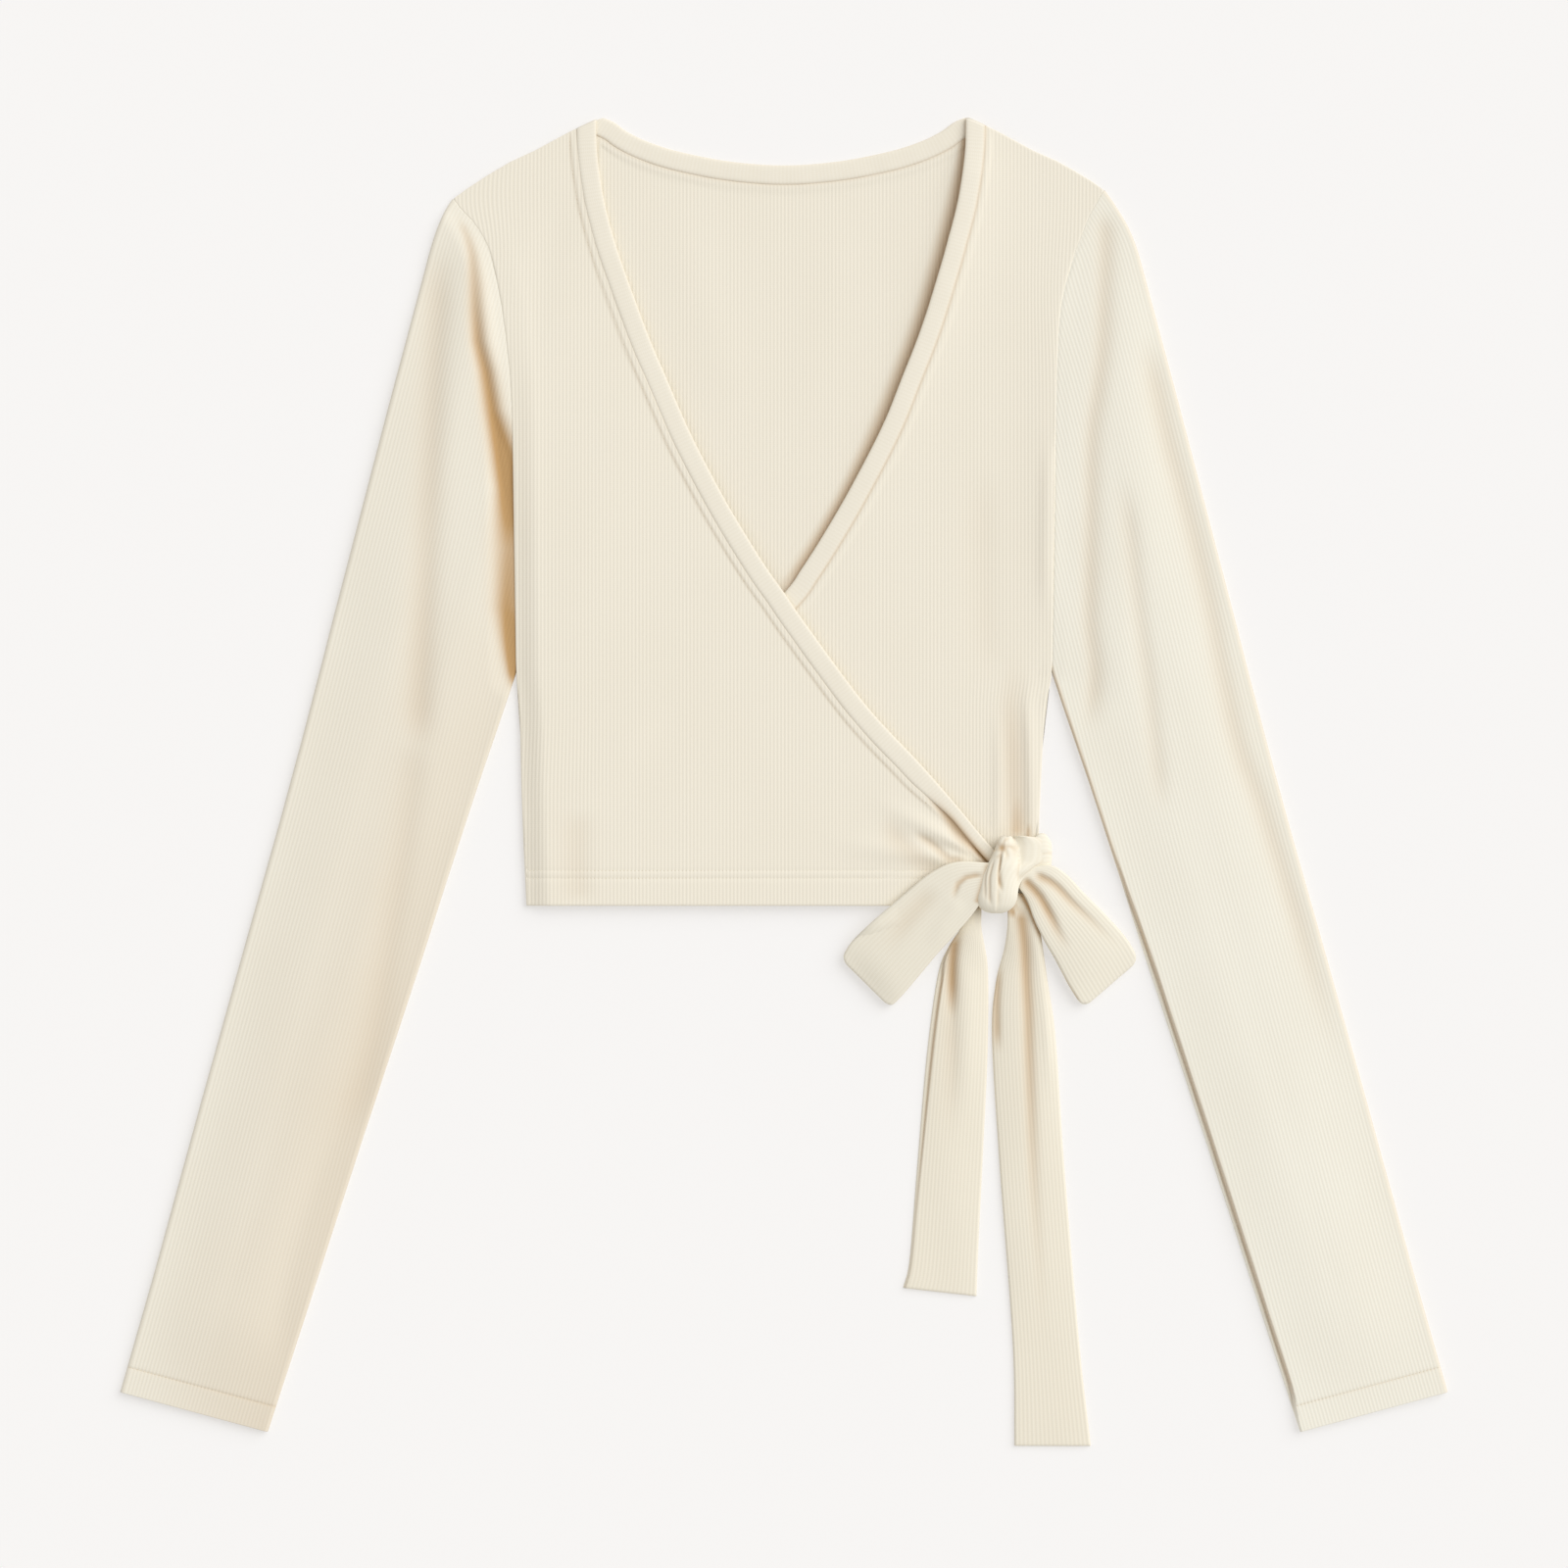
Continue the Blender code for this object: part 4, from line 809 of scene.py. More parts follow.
@dataclass(frozen=True)
class RibJersey:
    """Cotton rib jersey, weft-knitted and unbrushed: matt, soft-edged and faintly fuzzy."""

    slot: Slot
    crest: str = "F5EFE1"  # tops of the ribs
    groove: str = "E8DFCB"  # between them: painted shade in the rib grooves, and the tint of stray fibres and dye clouds
    hollow: str = "BF9A69"  # painted shade deep in folds and seams and under raised edges
    groove_share: float = 0.31  # how far the grooves take their painted shade
    course: float = 1.1  # knit rows; the real 0.6 would be too fine to show
    fuzz: float = 0.5  # loose fibres and slubs
    relief: float = 0.018  # depth of the knit rows
    roughness: float = 0.9
    sheen: float = 0.12
    fibres: tuple[float, float, float] = (0.7, 1.6, 0.22)  # width, length and share of the tint
    clouds: tuple[float, float, float] = (60, 90, 0.30)  # slow unevenness of the dye

    def material(self) -> bpy.types.Material:
        """Build the node tree.

        Returns:
            The material.
        """
        material, tree, shader = blank_material(self.slot.value)
        place = add_node(tree, "ShaderNodeUVMap", uv_map="Cloth")
        parts = add_node(tree, "ShaderNodeSeparateXYZ", {0: place})
        across, along = parts.outputs[0], parts.outputs[1]
        rib = self.wave(tree, across, RIB_PITCH)
        skew = add_node(tree, "ShaderNodeMath", {0: rib, 1: 0.35 * self.course}, operation="MULTIPLY")
        shifted = add_node(tree, "ShaderNodeMath", {0: along, 1: skew}, operation="ADD")
        course = self.wave(tree, shifted.outputs[0], self.course)
        noises = []
        for width, length, _ in (self.fibres, self.clouds):
            scale = (1 / width, 1 / length, 1)
            mapping = add_node(tree, "ShaderNodeMapping", {"Vector": place, "Scale": scale})
            noises.append(add_node(tree, "ShaderNodeTexNoise", {"Vector": mapping, "Scale": 1,
                                                                "Detail": 2}).outputs[0])
        # Painted shade that the mesh carries as an attribute
        hollow = add_node(tree, "ShaderNodeAttribute", attribute_name="hollow").outputs["Fac"]
        colour: Any = linear(self.crest)
        # The rib grooves get painted shade, the fibres and dye clouds get real tint, and the attribute adds
        # painted shade.
        for socket, gain, start, code in (
                (rib, -self.groove_share, self.groove_share, self.groove),
                (noises[0], self.fibres[2], 0, self.groove),
                (noises[1], self.clouds[2], 0, self.groove),
                (hollow, 1, 0, self.hollow)):
            share = add_node(tree, "ShaderNodeMath", {0: socket, 1: gain, 2: start}, operation="MULTIPLY_ADD")
            colour = add_node(tree, "ShaderNodeMix", {0: share, 6: colour, 7: linear(code)},
                              data_type="RGBA").outputs[2]
        rough = add_node(tree, "ShaderNodeMath", {0: noises[0], 1: 0.08, 2: self.roughness - 0.04},
                         operation="MULTIPLY_ADD")
        knit = add_node(tree, "ShaderNodeMath", {0: noises[0], 1: self.fuzz, 2: course},
                        operation="MULTIPLY_ADD")
        bump = add_node(tree, "ShaderNodeBump", {"Height": knit, "Distance": self.relief * MM,
                                                 "Strength": 0.9})
        feed(tree, shader, {"Base Color": colour, "Roughness": rough, "Normal": bump,
                            "Sheen Weight": self.sheen, "Sheen Roughness": 0.45, "Specular IOR Level": 0.25})
        return material

    def wave(self, tree: Tree, socket: Socket, pitch: float) -> Socket:
        """Half cosine wave of a place, from 0 to 1, that is 0 at whole pitches."""
        turn = add_node(tree, "ShaderNodeMath", {0: socket, 1: math.tau / pitch}, operation="MULTIPLY")
        return raised_cosine(tree, turn.outputs[0])


@dataclass(frozen=True)
class SewingThread:
    """Spun polyester sewing thread, twisted: a little smoother than the jersey."""

    name: str = "sewing_thread"
    colour: str = "EFE6D2"
    shade: str = "D9CCB0"
    twist: float = 0.45  # from one turn of the ply to the next

    def material(self) -> bpy.types.Material:
        """Build the node tree.

        Returns:
            The material.
        """
        material, tree, shader = blank_material(self.name)
        place = add_node(tree, "ShaderNodeTexCoord")
        ply = add_node(tree, "ShaderNodeTexWave", {"Vector": place.outputs["Object"],
                                                   "Scale": math.tau / (20 * self.twist * MM)},
                       bands_direction="DIAGONAL")
        colour = add_node(tree, "ShaderNodeMix", {0: ply.outputs["Fac"], 6: linear(self.colour),
                                                  7: linear(self.shade)}, data_type="RGBA")
        bump = add_node(tree, "ShaderNodeBump", {"Height": ply.outputs["Fac"], "Distance": 0.05 * MM})
        feed(tree, shader, {"Base Color": colour.outputs[2], "Normal": bump, "Roughness": 0.6})
        return material


@dataclass(frozen=True)
class LightTable:
    """Opal acrylic table lit from below, so that shadows on it stay faint."""

    name: str = "opal_light_table"
    colour: str = "BAB9B8"
    glow: tuple[float, float, float] = (1, 0.982, 0.972)
    strength: float = 0.458

    def material(self) -> bpy.types.Material:
        """Build the node tree.

        Returns:
            The material.
        """
        material, tree, shader = blank_material(self.name)
        place = add_node(tree, "ShaderNodeTexCoord")
        grain = add_node(tree, "ShaderNodeTexNoise", {"Vector": place.outputs["Object"], "Scale": 900})
        bump = add_node(tree, "ShaderNodeBump", {"Height": grain, "Distance": 0.02 * MM, "Strength": 0.2})
        feed(tree, shader, {"Normal": bump, "Base Color": linear(self.colour), "Roughness": 0.95,
                            "Specular IOR Level": 0.1, "Emission Color": (*self.glow, 1),
                            "Emission Strength": self.strength})
        return material


# ---- Node geometry

def new_tree(name: str, inputs: dict[str, str]) -> tuple[Tree, Any, Any]:
    """Start a Geometry Nodes tree.

    Args:
        name: Name of the tree.
        inputs: Socket type of each input after the geometry, by name.

    Returns:
        The tree, its input node and its output node.
    """
    tree = bpy.data.node_groups.new(name, "GeometryNodeTree")
    tree.interface.new_socket("Geometry", in_out="INPUT", socket_type="NodeSocketGeometry")
    tree.interface.new_socket("Geometry", in_out="OUTPUT", socket_type="NodeSocketGeometry")
    for label, kind in inputs.items():
        tree.interface.new_socket(label, in_out="INPUT", socket_type=kind)
    return tree, add_node(tree, "NodeGroupInput"), add_node(tree, "NodeGroupOutput")


def applied(item: Item, tree: Tree, values: dict[str, Any]) -> Item:
    """Put an object through a tree and keep the result as its plain mesh.

    Args:
        item: Object whose mesh goes in.
        tree: Geometry Nodes tree.
        values: Value of each input, by its name.

    Returns:
        The same object, without a modifier.
    """
    modifier = item.modifiers.new(tree.name, "NODES")
    modifier.node_group = tree
    for socket in tree.interface.items_tree:
        if socket.item_type == "SOCKET" and socket.in_out == "INPUT" and socket.name in values:
            modifier[socket.identifier] = values[socket.name]
    graph = bpy.context.evaluated_depsgraph_get()
    mesh = bpy.data.meshes.new_from_object(item.evaluated_get(graph), depsgraph=graph)
    item.modifiers.remove(modifier)
    spent = item.data
    item.data = mesh
    bpy.data.meshes.remove(spent)
    mesh.name = item.name
    return item


def set_down(name: str, data: bpy.types.ID) -> Item:
    """Link a new object into the scene.

    Args:
        name: Name of the object.
        data: Its mesh, lamp or camera.

    Returns:
        The object.
    """
    item = bpy.data.objects.new(name, data)
    bpy.context.scene.collection.objects.link(item)
    return item


class Knitting:
    """Geometry Nodes that raise ribs from a surface and lay stitches on a line."""

    def __init__(self) -> None:
        """Build both trees."""
        self.ribs = self.rib_tree()
        self.stitches = self.stitch_tree()

    def rib_tree(self) -> Tree:
        """Tree that lifts points along their normals by where they lie across the ribs.

        Returns:
            The tree.
        """
        tree, given, out = new_tree("raised_ribs", {
            "Pitch": "NodeSocketFloat", "Raise": "NodeSocketFloat", "Jersey": "NodeSocketMaterial"})
        across = add_node(tree, "GeometryNodeInputNamedAttribute", {0: "across"})
        ribbed = add_node(tree, "GeometryNodeInputNamedAttribute", {0: "ribbed"})
        part = add_node(tree, "ShaderNodeMath", {0: across, 1: given.outputs["Pitch"]},
                        operation="DIVIDE")
        turn = add_node(tree, "ShaderNodeMath", {0: part, 1: math.tau}, operation="MULTIPLY")
        crest = raised_cosine(tree, turn.outputs[0])
        lift = add_node(tree, "ShaderNodeMath", {0: crest, 1: given.outputs["Raise"]}, operation="MULTIPLY")
        shown = add_node(tree, "ShaderNodeMath", {0: lift, 1: ribbed}, operation="MULTIPLY")
        normal = add_node(tree, "GeometryNodeInputNormal")
        offset = add_node(tree, "ShaderNodeVectorMath", {0: normal, "Scale": shown}, operation="SCALE")
        moved = add_node(tree, "GeometryNodeSetPosition", {"Geometry": given, "Offset": offset})
        real = add_node(tree, "GeometryNodeRealizeInstances", {0: moved})
        add = add_node(tree, "GeometryNodeSetMaterial", {"Geometry": real,
                                                         "Material": given.outputs["Jersey"]})
        feed(tree, out, {0: add})
        return tree

    def stitch_tree(self) -> Tree:
        """Tree that lays a stitch every so far along each line of edges.

        Returns:
            The tree.
        """
        tree, given, out = new_tree("sewn_stitches", {
            "Spacing": "NodeSocketFloat", "Length": "NodeSocketFloat", "Thickness": "NodeSocketFloat",
            "Thread": "NodeSocketMaterial"})
        line = add_node(tree, "GeometryNodeMeshToCurve", {0: given})
        spots = add_node(tree, "GeometryNodeResampleCurve", {"Curve": line,
                                                             "Length": given.outputs["Spacing"]},
                         mode="LENGTH")
        tangent = add_node(tree, "GeometryNodeInputTangent")
        turn = add_node(tree, "FunctionNodeAlignRotationToVector", {"Vector": tangent}, axis="X")
        bead = add_node(tree, "GeometryNodeMeshIcoSphere", {"Radius": 0.5, "Subdivisions": 1})
        size = add_node(tree, "ShaderNodeCombineXYZ", {0: given.outputs["Length"],
                                                       1: given.outputs["Thickness"],
                                                       2: given.outputs["Thickness"]})
        laid = add_node(tree, "GeometryNodeInstanceOnPoints", {
            "Points": spots, "Instance": bead,
            "Rotation": turn, "Scale": size})
        real = add_node(tree, "GeometryNodeRealizeInstances", {0: laid})
        smooth = add_node(tree, "GeometryNodeSetShadeSmooth", {0: real})
        add = add_node(tree, "GeometryNodeSetMaterial", {"Geometry": smooth,
                                                         "Material": given.outputs["Thread"]})
        feed(tree, out, {0: add})
        return tree


# ---- Cloth shells

class Shell:
    """Points and faces of one closed piece of cloth while it is made."""

    def __init__(self) -> None:
        """Start with nothing."""
        self.points = np.zeros((0, 3))
        self.places = np.zeros((0, 4))
        self.faces: list[Array] = []

    def add(self, points: Array, across: Array, along: Array, ribbed: Array | float,
            hollow: Array | float = 0) -> Array:
        """Store a block of points.

        Args:
            points: Positions in millimetres, last axis x, y and z.
            across: Place across the ribs.
            along: Place along the ribs.
            ribbed: 1 where ribs stand up in full, 0 where there are none.
            hollow: Painted shade, 1 deep in a fold and 0 on open cloth.

        Returns:
            Numbers of the points, in the block's shape.
        """
        shape = points.shape[:-1]
        first = len(self.points)
        place = np.stack([np.broadcast_to(v, shape) for v in (across, along, ribbed, hollow)], axis=-1)
        self.points = np.vstack([self.points, points.reshape(-1, 3)])
        self.places = np.vstack([self.places, place.reshape(-1, 4)])
        return np.arange(first, len(self.points)).reshape(shape)

    def grid(self, numbers: Array, flip: bool = False) -> None:
        """Fill a grid of point numbers with four-sided faces.

        Args:
            numbers: Numbers of its points.
            flip: Whether the faces turn the other way.
        """
        quads = np.stack([numbers[:-1, :-1], numbers[1:, :-1], numbers[1:, 1:], numbers[:-1, 1:]], axis=-1)
        quads = quads.reshape(-1, 4)
        self.faces.append(quads[:, ::-1] if flip else quads)

    def seam(self, line_a: Array, line_b: Array, flip: bool = False) -> None:
        """Join two lines of points that run the same way, whatever their counts.

        Args:
            line_a: Numbers of the first line's points.
            line_b: Numbers of the second line's points.
            flip: Whether the faces turn the other way.
        """
        parts = []
        for line in (line_a, line_b):
            lengths = lengths_along(self.points[line])
            parts.append(np.append(lengths / max(lengths[-1], 1e-9), math.inf))
        made, i, j = [], 0, 0
        while i < len(line_a) - 1 or j < len(line_b) - 1:
            if parts[0][i + 1] <= parts[1][j + 1]:
                made.append((line_a[i], line_a[i + 1], line_b[j]))
                i += 1
            else:
                made.append((line_a[i], line_b[j + 1], line_b[j]))
                j += 1
        faces = np.array(made)
        self.faces.append(faces[:, ::-1] if flip else faces)

    def cap(self, ring: Array, flip: bool = False) -> None:
        """Close a ring of points with a fan round its middle.

        Args:
            ring: Numbers of its points.
            flip: Whether the faces turn the other way.
        """
        middle = self.points[ring].mean(axis=0)
        place = self.places[ring].mean(axis=0)
        centre = int(self.add(middle[None], place[0], place[1], 0)[0])
        faces = np.column_stack([ring, np.roll(ring, -1), np.full(len(ring), centre)])
        self.faces.append(faces[:, ::-1] if flip else faces)

    def sheet(self, outer: Array, inner: Array) -> None:
        """Close the wall between an outer and an inner grid of points.

        Args:
            outer: Numbers of the outer points.
            inner: Numbers of the inner points.
        """
        self.grid(outer)
        self.grid(inner, flip=True)
        self.seam(outer[0, :], inner[0, :])
        self.seam(outer[-1, :], inner[-1, :], flip=True)
        self.seam(outer[:, 0], inner[:, 0], flip=True)
        self.seam(outer[:, -1], inner[:, -1])

    def bar(self, rings: Array) -> None:
        """Close a bar through rings of points.

        Args:
            rings: Numbers of the points, a row for each ring.
        """
        self.grid(np.hstack([rings, rings[:, :1]]))
        self.cap(rings[0])
        self.cap(rings[-1], flip=True)

    def volume(self) -> float:
        """Enclosed volume, negative where the faces point inwards.

        Returns:
            Cubic millimetres.
        """
        total = 0
        for faces in self.faces:
            for k in range(1, faces.shape[1] - 1):
                a, b, c = (self.points[faces[:, i]] for i in (0, k, k + 1))
                total += float(np.einsum("ij,ij->i", a, np.cross(b, c)).sum())
        return total / 6

    def make(self, name: str) -> Item:
        """Turn the piece into a named object.

        Args:
            name: Name of the object.

        Returns:
            The object, linked into the scene.
        """
        faces = self.faces if self.volume() > 0 else [f[:, ::-1] for f in self.faces]
        placed = (self.points - (0, ORIGIN_Y, 0)) * MM
        mesh = bpy.data.meshes.new(name)
        mesh.from_pydata(placed, [], [face for block in faces for face in block.tolist()])
        mesh.validate()
        corners = np.zeros(len(mesh.loops), dtype=np.int32)
        mesh.loops.foreach_get("vertex_index", corners)
        laid = mesh.uv_layers.new(name="Cloth")
        laid.data.foreach_set("uv", self.places[corners, :2].astype(np.float32).ravel())
        for index, label in ((0, "across"), (2, "ribbed"), (3, "hollow")):
            values = mesh.attributes.new(label, "FLOAT", "POINT")
            values.data.foreach_set("value", self.places[:, index].astype(np.float32))
        mesh.shade_smooth()
        return set_down(name, mesh)


@dataclass
class Workroom:
    """What every piece needs: the pattern, the node trees and the finishes."""

    pattern: Pattern
    knitting: Knitting
    jerseys: dict[Slot, bpy.types.Material]
    thread: bpy.types.Material

    def dress(self, shell: Shell, name: str, slot: Slot, node: str) -> Item:
        """Make a shell, raise its ribs and put it in its node's place.

        Args:
            shell: Points and faces.
            name: Name of the piece.
            slot: Material slot of the record.
            node: Node that it stands for.

        Returns:
            The piece.
        """
        item = applied(shell.make(name), self.knitting.ribs, {
            "Pitch": RIB_PITCH, "Raise": RIB_RAISE * MM, "Jersey": self.jerseys[slot]})
        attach(item, "root")
        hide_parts(node)
        return item

    def sew(self, name: str, lines: Sequence[Array], slot: Slot) -> Item:
        """Lay stitches on lines.

        Args:
            name: Name of the piece.
            lines: Paths in millimetres, with heights.
            slot: Material slot of the record; not used.

        Returns:
            The stitches as one piece.
        """
        points, edges = [], []
        for line in lines:
            first = len(points)
            points += [tuple((p - (0, ORIGIN_Y, 0)) * MM) for p in line]
            edges += [(k, k + 1) for k in range(first, len(points) - 1)]
        mesh = bpy.data.meshes.new(name)
        mesh.from_pydata(points, edges, [])
        item = applied(set_down(name, mesh), self.knitting.stitches, {
            "Spacing": RIB_PITCH * MM, "Length": STITCH_LENGTH * MM, "Thickness": THREAD_WIDTH * MM,
            "Thread": self.thread})
        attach(item, "root")
        return item


# ---- Panels

@dataclass
class Panel:
    """A cut panel of the body; its columns of points run along its ribs."""

    shop: Workroom
    left: float
    right: float
    row_step: float = 5
    hem_rows: tuple[float, ...] = (0, 0.3, 0.8, 1.6, 4, 8, 12, 14.3, 14.8, 15.2, 15.6, 16.1,
                                   17.3, 18.5, 19, 19.4, 19.8, 20.6, 22)
    seam_rows: tuple[float, ...] = (9.5, 8, 6.8, 5.6, 4.6, 3.6, 2.7, 1.8, 1, 0.4, 0)
    folds: Folds = ()
    under_step: int = 6  # the plain side keeps every so many columns
    under_rows: int = 3
    turned: float = 0.45  # what the seam allowance adds beside the neckband
    seam_tone: float = 0.04  # painted shade along the neck seam
    name: str = ""
    node: str = ""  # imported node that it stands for
    slot: Slot = Slot.BODY
    cut: tuple[float, float] = (0, 0)  # width and length in metres
    rests_on: tuple[str, ...] = ()

    def columns(self) -> Array:
        """Places of the columns, close enough to draw each rib.

        Returns:
            Places across the drawing.
        """
        count = int(round((self.right - self.left) / RIB_STEP))
        first = RIB_STEP * math.ceil(self.left / RIB_STEP)
        inner = first + RIB_STEP * np.arange(count + 1)
        inner = inner[(inner > self.left + 0.15) & (inner < self.right - 0.15)]
        return np.hstack([[self.left], inner, [self.right]])

    def low(self, x: Array) -> Array:
        """Lower outline."""
        return self.shop.pattern.low(x)

    def high(self, x: Array) -> Array:
        """Upper outline."""
        return self.shop.pattern.top(x, self.seam())

    def seam(self) -> Array:
        """Neck seam of this panel."""
        raise NotImplementedError

    def base(self, x: Array, y: Array) -> Array:
        """Height of the underside before folds."""
        raise NotImplementedError

    def relief(self, x: Array, y: Array) -> Pair:
        """Height that folds and the neck's seam allowance add, and painted shade in the folds and along the
        neck seam.

        Args:
            x, y: Across and up the drawing.

        Returns:
            Height and tone at each point.
        """
        height, tone = folded(self.folds, x, y)
        off, _ = beside(self.seam()[::2], x, y)
        off = np.abs(off)
        under_seam = self.turned * (1 - ease((off - NECK_SEWN + 1.2) / 2.4)) * ease((365 - y) / 16)
        return height + under_seam, np.maximum(tone, self.seam_tone * bell((off - TUCK) / 0.8))

    def plan(self, x: Array) -> Pair:
        """Plan of the panel.

        Args:
            x: Places of its columns.

        Returns:
            Grids of x and y, columns first.
        """
        low, high = self.low(x), self.high(x)
        length = high - low
        lower = np.array(self.hem_rows) * np.minimum(1, 0.25 * length / self.hem_rows[-1])[:, None]
        upper = np.array(self.seam_rows) * np.minimum(1, 0.25 * length / self.seam_rows[0])[:, None]
        start, end = low + lower[:, -1], high - upper[:, 0]
        count = max(4, int(round((end - start).max() / self.row_step)))
        parts = np.linspace(0, 1, count + 1)[1:-1]
        middle = start[:, None] + parts * (end - start)[:, None]
        y = np.hstack([low[:, None] + lower, middle, high[:, None] - upper])
        return np.broadcast_to(x[:, None], y.shape), y

    def hem(self, x: Array, y: Array) -> Array:
        """Height that the turned hem and its rows of stitches add.

        Args:
            x, y: Across and up the drawing.

        Returns:
            Height at each point.
        """
        over = np.where(np.abs(x) <= HEM_END, y - HEM_Y, 99)
        turned = HEM_SHOWN * (1 - ease((over - HEM_SEWN[1] + 0.6) / 1.6))
        sewn = sum(STITCH_DIP * bell((over - row) / 0.7) for row in HEM_SEWN)
        return (turned - sewn) * ease((86 - x) / 10)

    def build(self) -> Shell:
        """Make the panel's shell.

        Returns:
            The shell.
        """
        shell, settled = Shell(), self.shop.pattern.settled
        x, y = self.plan(self.columns())
        folds, tone = self.relief(x, y)
        edge, thick = self.edges(x, y)
        top = self.base(x, y) + folds + thick + self.hem(x, y)
        outer = shell.add(settled(np.dstack([x, y, top])), x, y, clamp01(edge / RIM), tone)
        lines = np.append(np.arange(0, x.shape[1], self.under_rows), x.shape[1] - 1)
        pick = np.ix_(self.inner_columns(x[:, 0]), np.unique(lines))
        floor = self.base(x[pick], y[pick]) + np.minimum(folds[pick], 0)
        inner = shell.add(settled(np.dstack([x[pick], y[pick], floor])), x[pick], y[pick], 0)
        shell.sheet(outer, inner)
        return shell

    def edges(self, x: Array, y: Array) -> Pair:
        """Distance from the nearest edge, and the cloth's thickness: thin at a free edge, not at the neck.

        Args:
            x, y: Across and up the drawing.

        Returns:
            Distance and thickness at each point.
        """
        free = np.minimum(y - y[:, :1], self.side_distance(x, y))
        sewn = y[:, -1:] - y
        thick = np.minimum(0.55 + 0.45 * rounded(free, RIM), 0.85 + 0.15 * rounded(sewn, RIM))
        return np.minimum(free, sewn), CLOTH * thick

    def inner_columns(self, x: Array) -> Array:
        """Numbers of the columns that the plain side keeps."""
        return np.unique(np.append(np.arange(0, len(x), self.under_step), len(x) - 1))

    def surface(self, x: Array, y: Array) -> Array:
        """Height of the outside away from the edges."""
        return self.base(x, y) + self.relief(x, y)[0] + CLOTH + self.hem(x, y)

    def side_distance(self, x: Array, y: Array) -> Array:
        """Distance from the side seam or armhole, or from a cut end."""
        return np.minimum(self.shop.pattern.edge_distance(x, y) + 0.02,
                          np.minimum(x - self.left, self.right - x))

    def flat_area(self) -> float:
        """Area of the cut in square metres."""
        x = self.columns()
        return float(np.trapz(self.high(x) - self.low(x), x)) * MM * MM

    def make(self) -> Item:
        """Make the panel.

        Returns:
            The piece.
        """
        item = self.shop.dress(self.build(), self.name, self.slot, self.node)
        return (item, self.flat_area(), list(self.rests_on))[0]


@dataclass
class BackPanel(Panel):
    """Back of the body, flat on the floor, its inside showing in the neck opening."""

    name: str = "back_rib_panel"
    node: str = "back_panel"
    slot: Slot = Slot.INSIDE
    cut: tuple[float, float] = (0.352, 0.432)
    ribbed_to: float = 101
    folds: Folds = BACK_FOLDS
    shade: float = 0.62  # painted shadow on it under the raised edge of the front
    seam_tone: float = 0.14
    side_columns: tuple[float, ...] = (103, 107, 112.5, 120, 130) + tuple(
        row.half_width for row in SIDE_AND_ARMHOLE[:-1]) + (SHOULDER_TIP,)

    def columns(self) -> Array:
        """Fine columns inside the neck opening, and wide ones beside it.

        Returns:
            Places across the drawing.
        """
        fine = np.arange(-self.ribbed_to, self.ribbed_to + 0.1, RIB_STEP)
        side = np.array(self.side_columns)
        return np.hstack([-side[::-1], fine, side])

    def inner_columns(self, x: Array) -> Array:
        """Every outline column, and a few of the fine ones."""
        wide = np.flatnonzero(np.abs(x) > self.ribbed_to)
        return np.unique(np.hstack([wide, np.arange(0, len(x), 14)]))

    def seam(self) -> Array:
        """Seam of the back neckband."""
        return self.shop.pattern.back_seam

    def plan(self, x: Array) -> Pair:
        """Plan with a few rows under the fronts and close ones in the opening.

        Args:
            x: Places of its columns.

        Returns:
            Grids of x and y, columns first.
        """
        low, high = self.low(x), self.high(x)
        opening = lookup(NECKLINE, "half_width", "y", np.abs(x)) - 14
        start = np.where(np.abs(x) <= self.ribbed_to, np.minimum(opening, high - 16),
                         low + 0.5 * (high - low))
        hidden = low[:, None] + np.array([0, 0.01, 0.3, 0.7]) * (start - low)[:, None]
        parts = np.hstack([np.linspace(0, 0.96, 50), [0.97, 0.98, 0.988, 0.994, 0.998, 1]])
        y = np.hstack([hidden, start[:, None] + parts * (high - start)[:, None]])
        return np.broadcast_to(x[:, None], y.shape), y

    def base(self, x: Array, y: Array) -> Array:
        """The back lies on the floor."""
        return np.zeros(x.shape)

    def hem(self, x: Array, y: Array) -> Array:
        """The hem of the back is hidden under the fronts."""
        return np.zeros(x.shape)

    def build(self) -> Shell:
        """Make the shell, with its underside flat on the floor.

        Returns:
            The shell.
        """
        shell, pattern = Shell(), self.shop.pattern
        x, y = self.plan(self.columns())
        folds, tone = self.relief(x, y)
        # Painted shadow on the back's inside, beside the under front's raised neck edge.
        off, _ = beside(pattern.under_edge[::2], x, y)
        wide = 9.5 - 4.5 * ease((y - 310) / 50) - 2.5 * ease((210 - y) / 60)
        shaded = self.shade * (1 - ease(np.abs(off) / wide)) * ease((y - 95) / 25) * (x > -8)
        edge, thick = self.edges(x, y)
        top = thick + folds
        ribbed = clamp01(edge / RIM) * (np.abs(x) <= self.ribbed_to)
        outer = shell.add(pattern.settled(np.dstack([x, y, top])), x, y, ribbed, np.maximum(tone, shaded))
        pick = np.ix_(self.inner_columns(x[:, 0]), np.array([0, x.shape[1] - 1]))
        flat = pattern.settled(np.dstack([x[pick], y[pick], np.zeros(x[pick].shape)]))
        shell.sheet(outer, shell.add(flat, x[pick], y[pick], 0))
        return shell


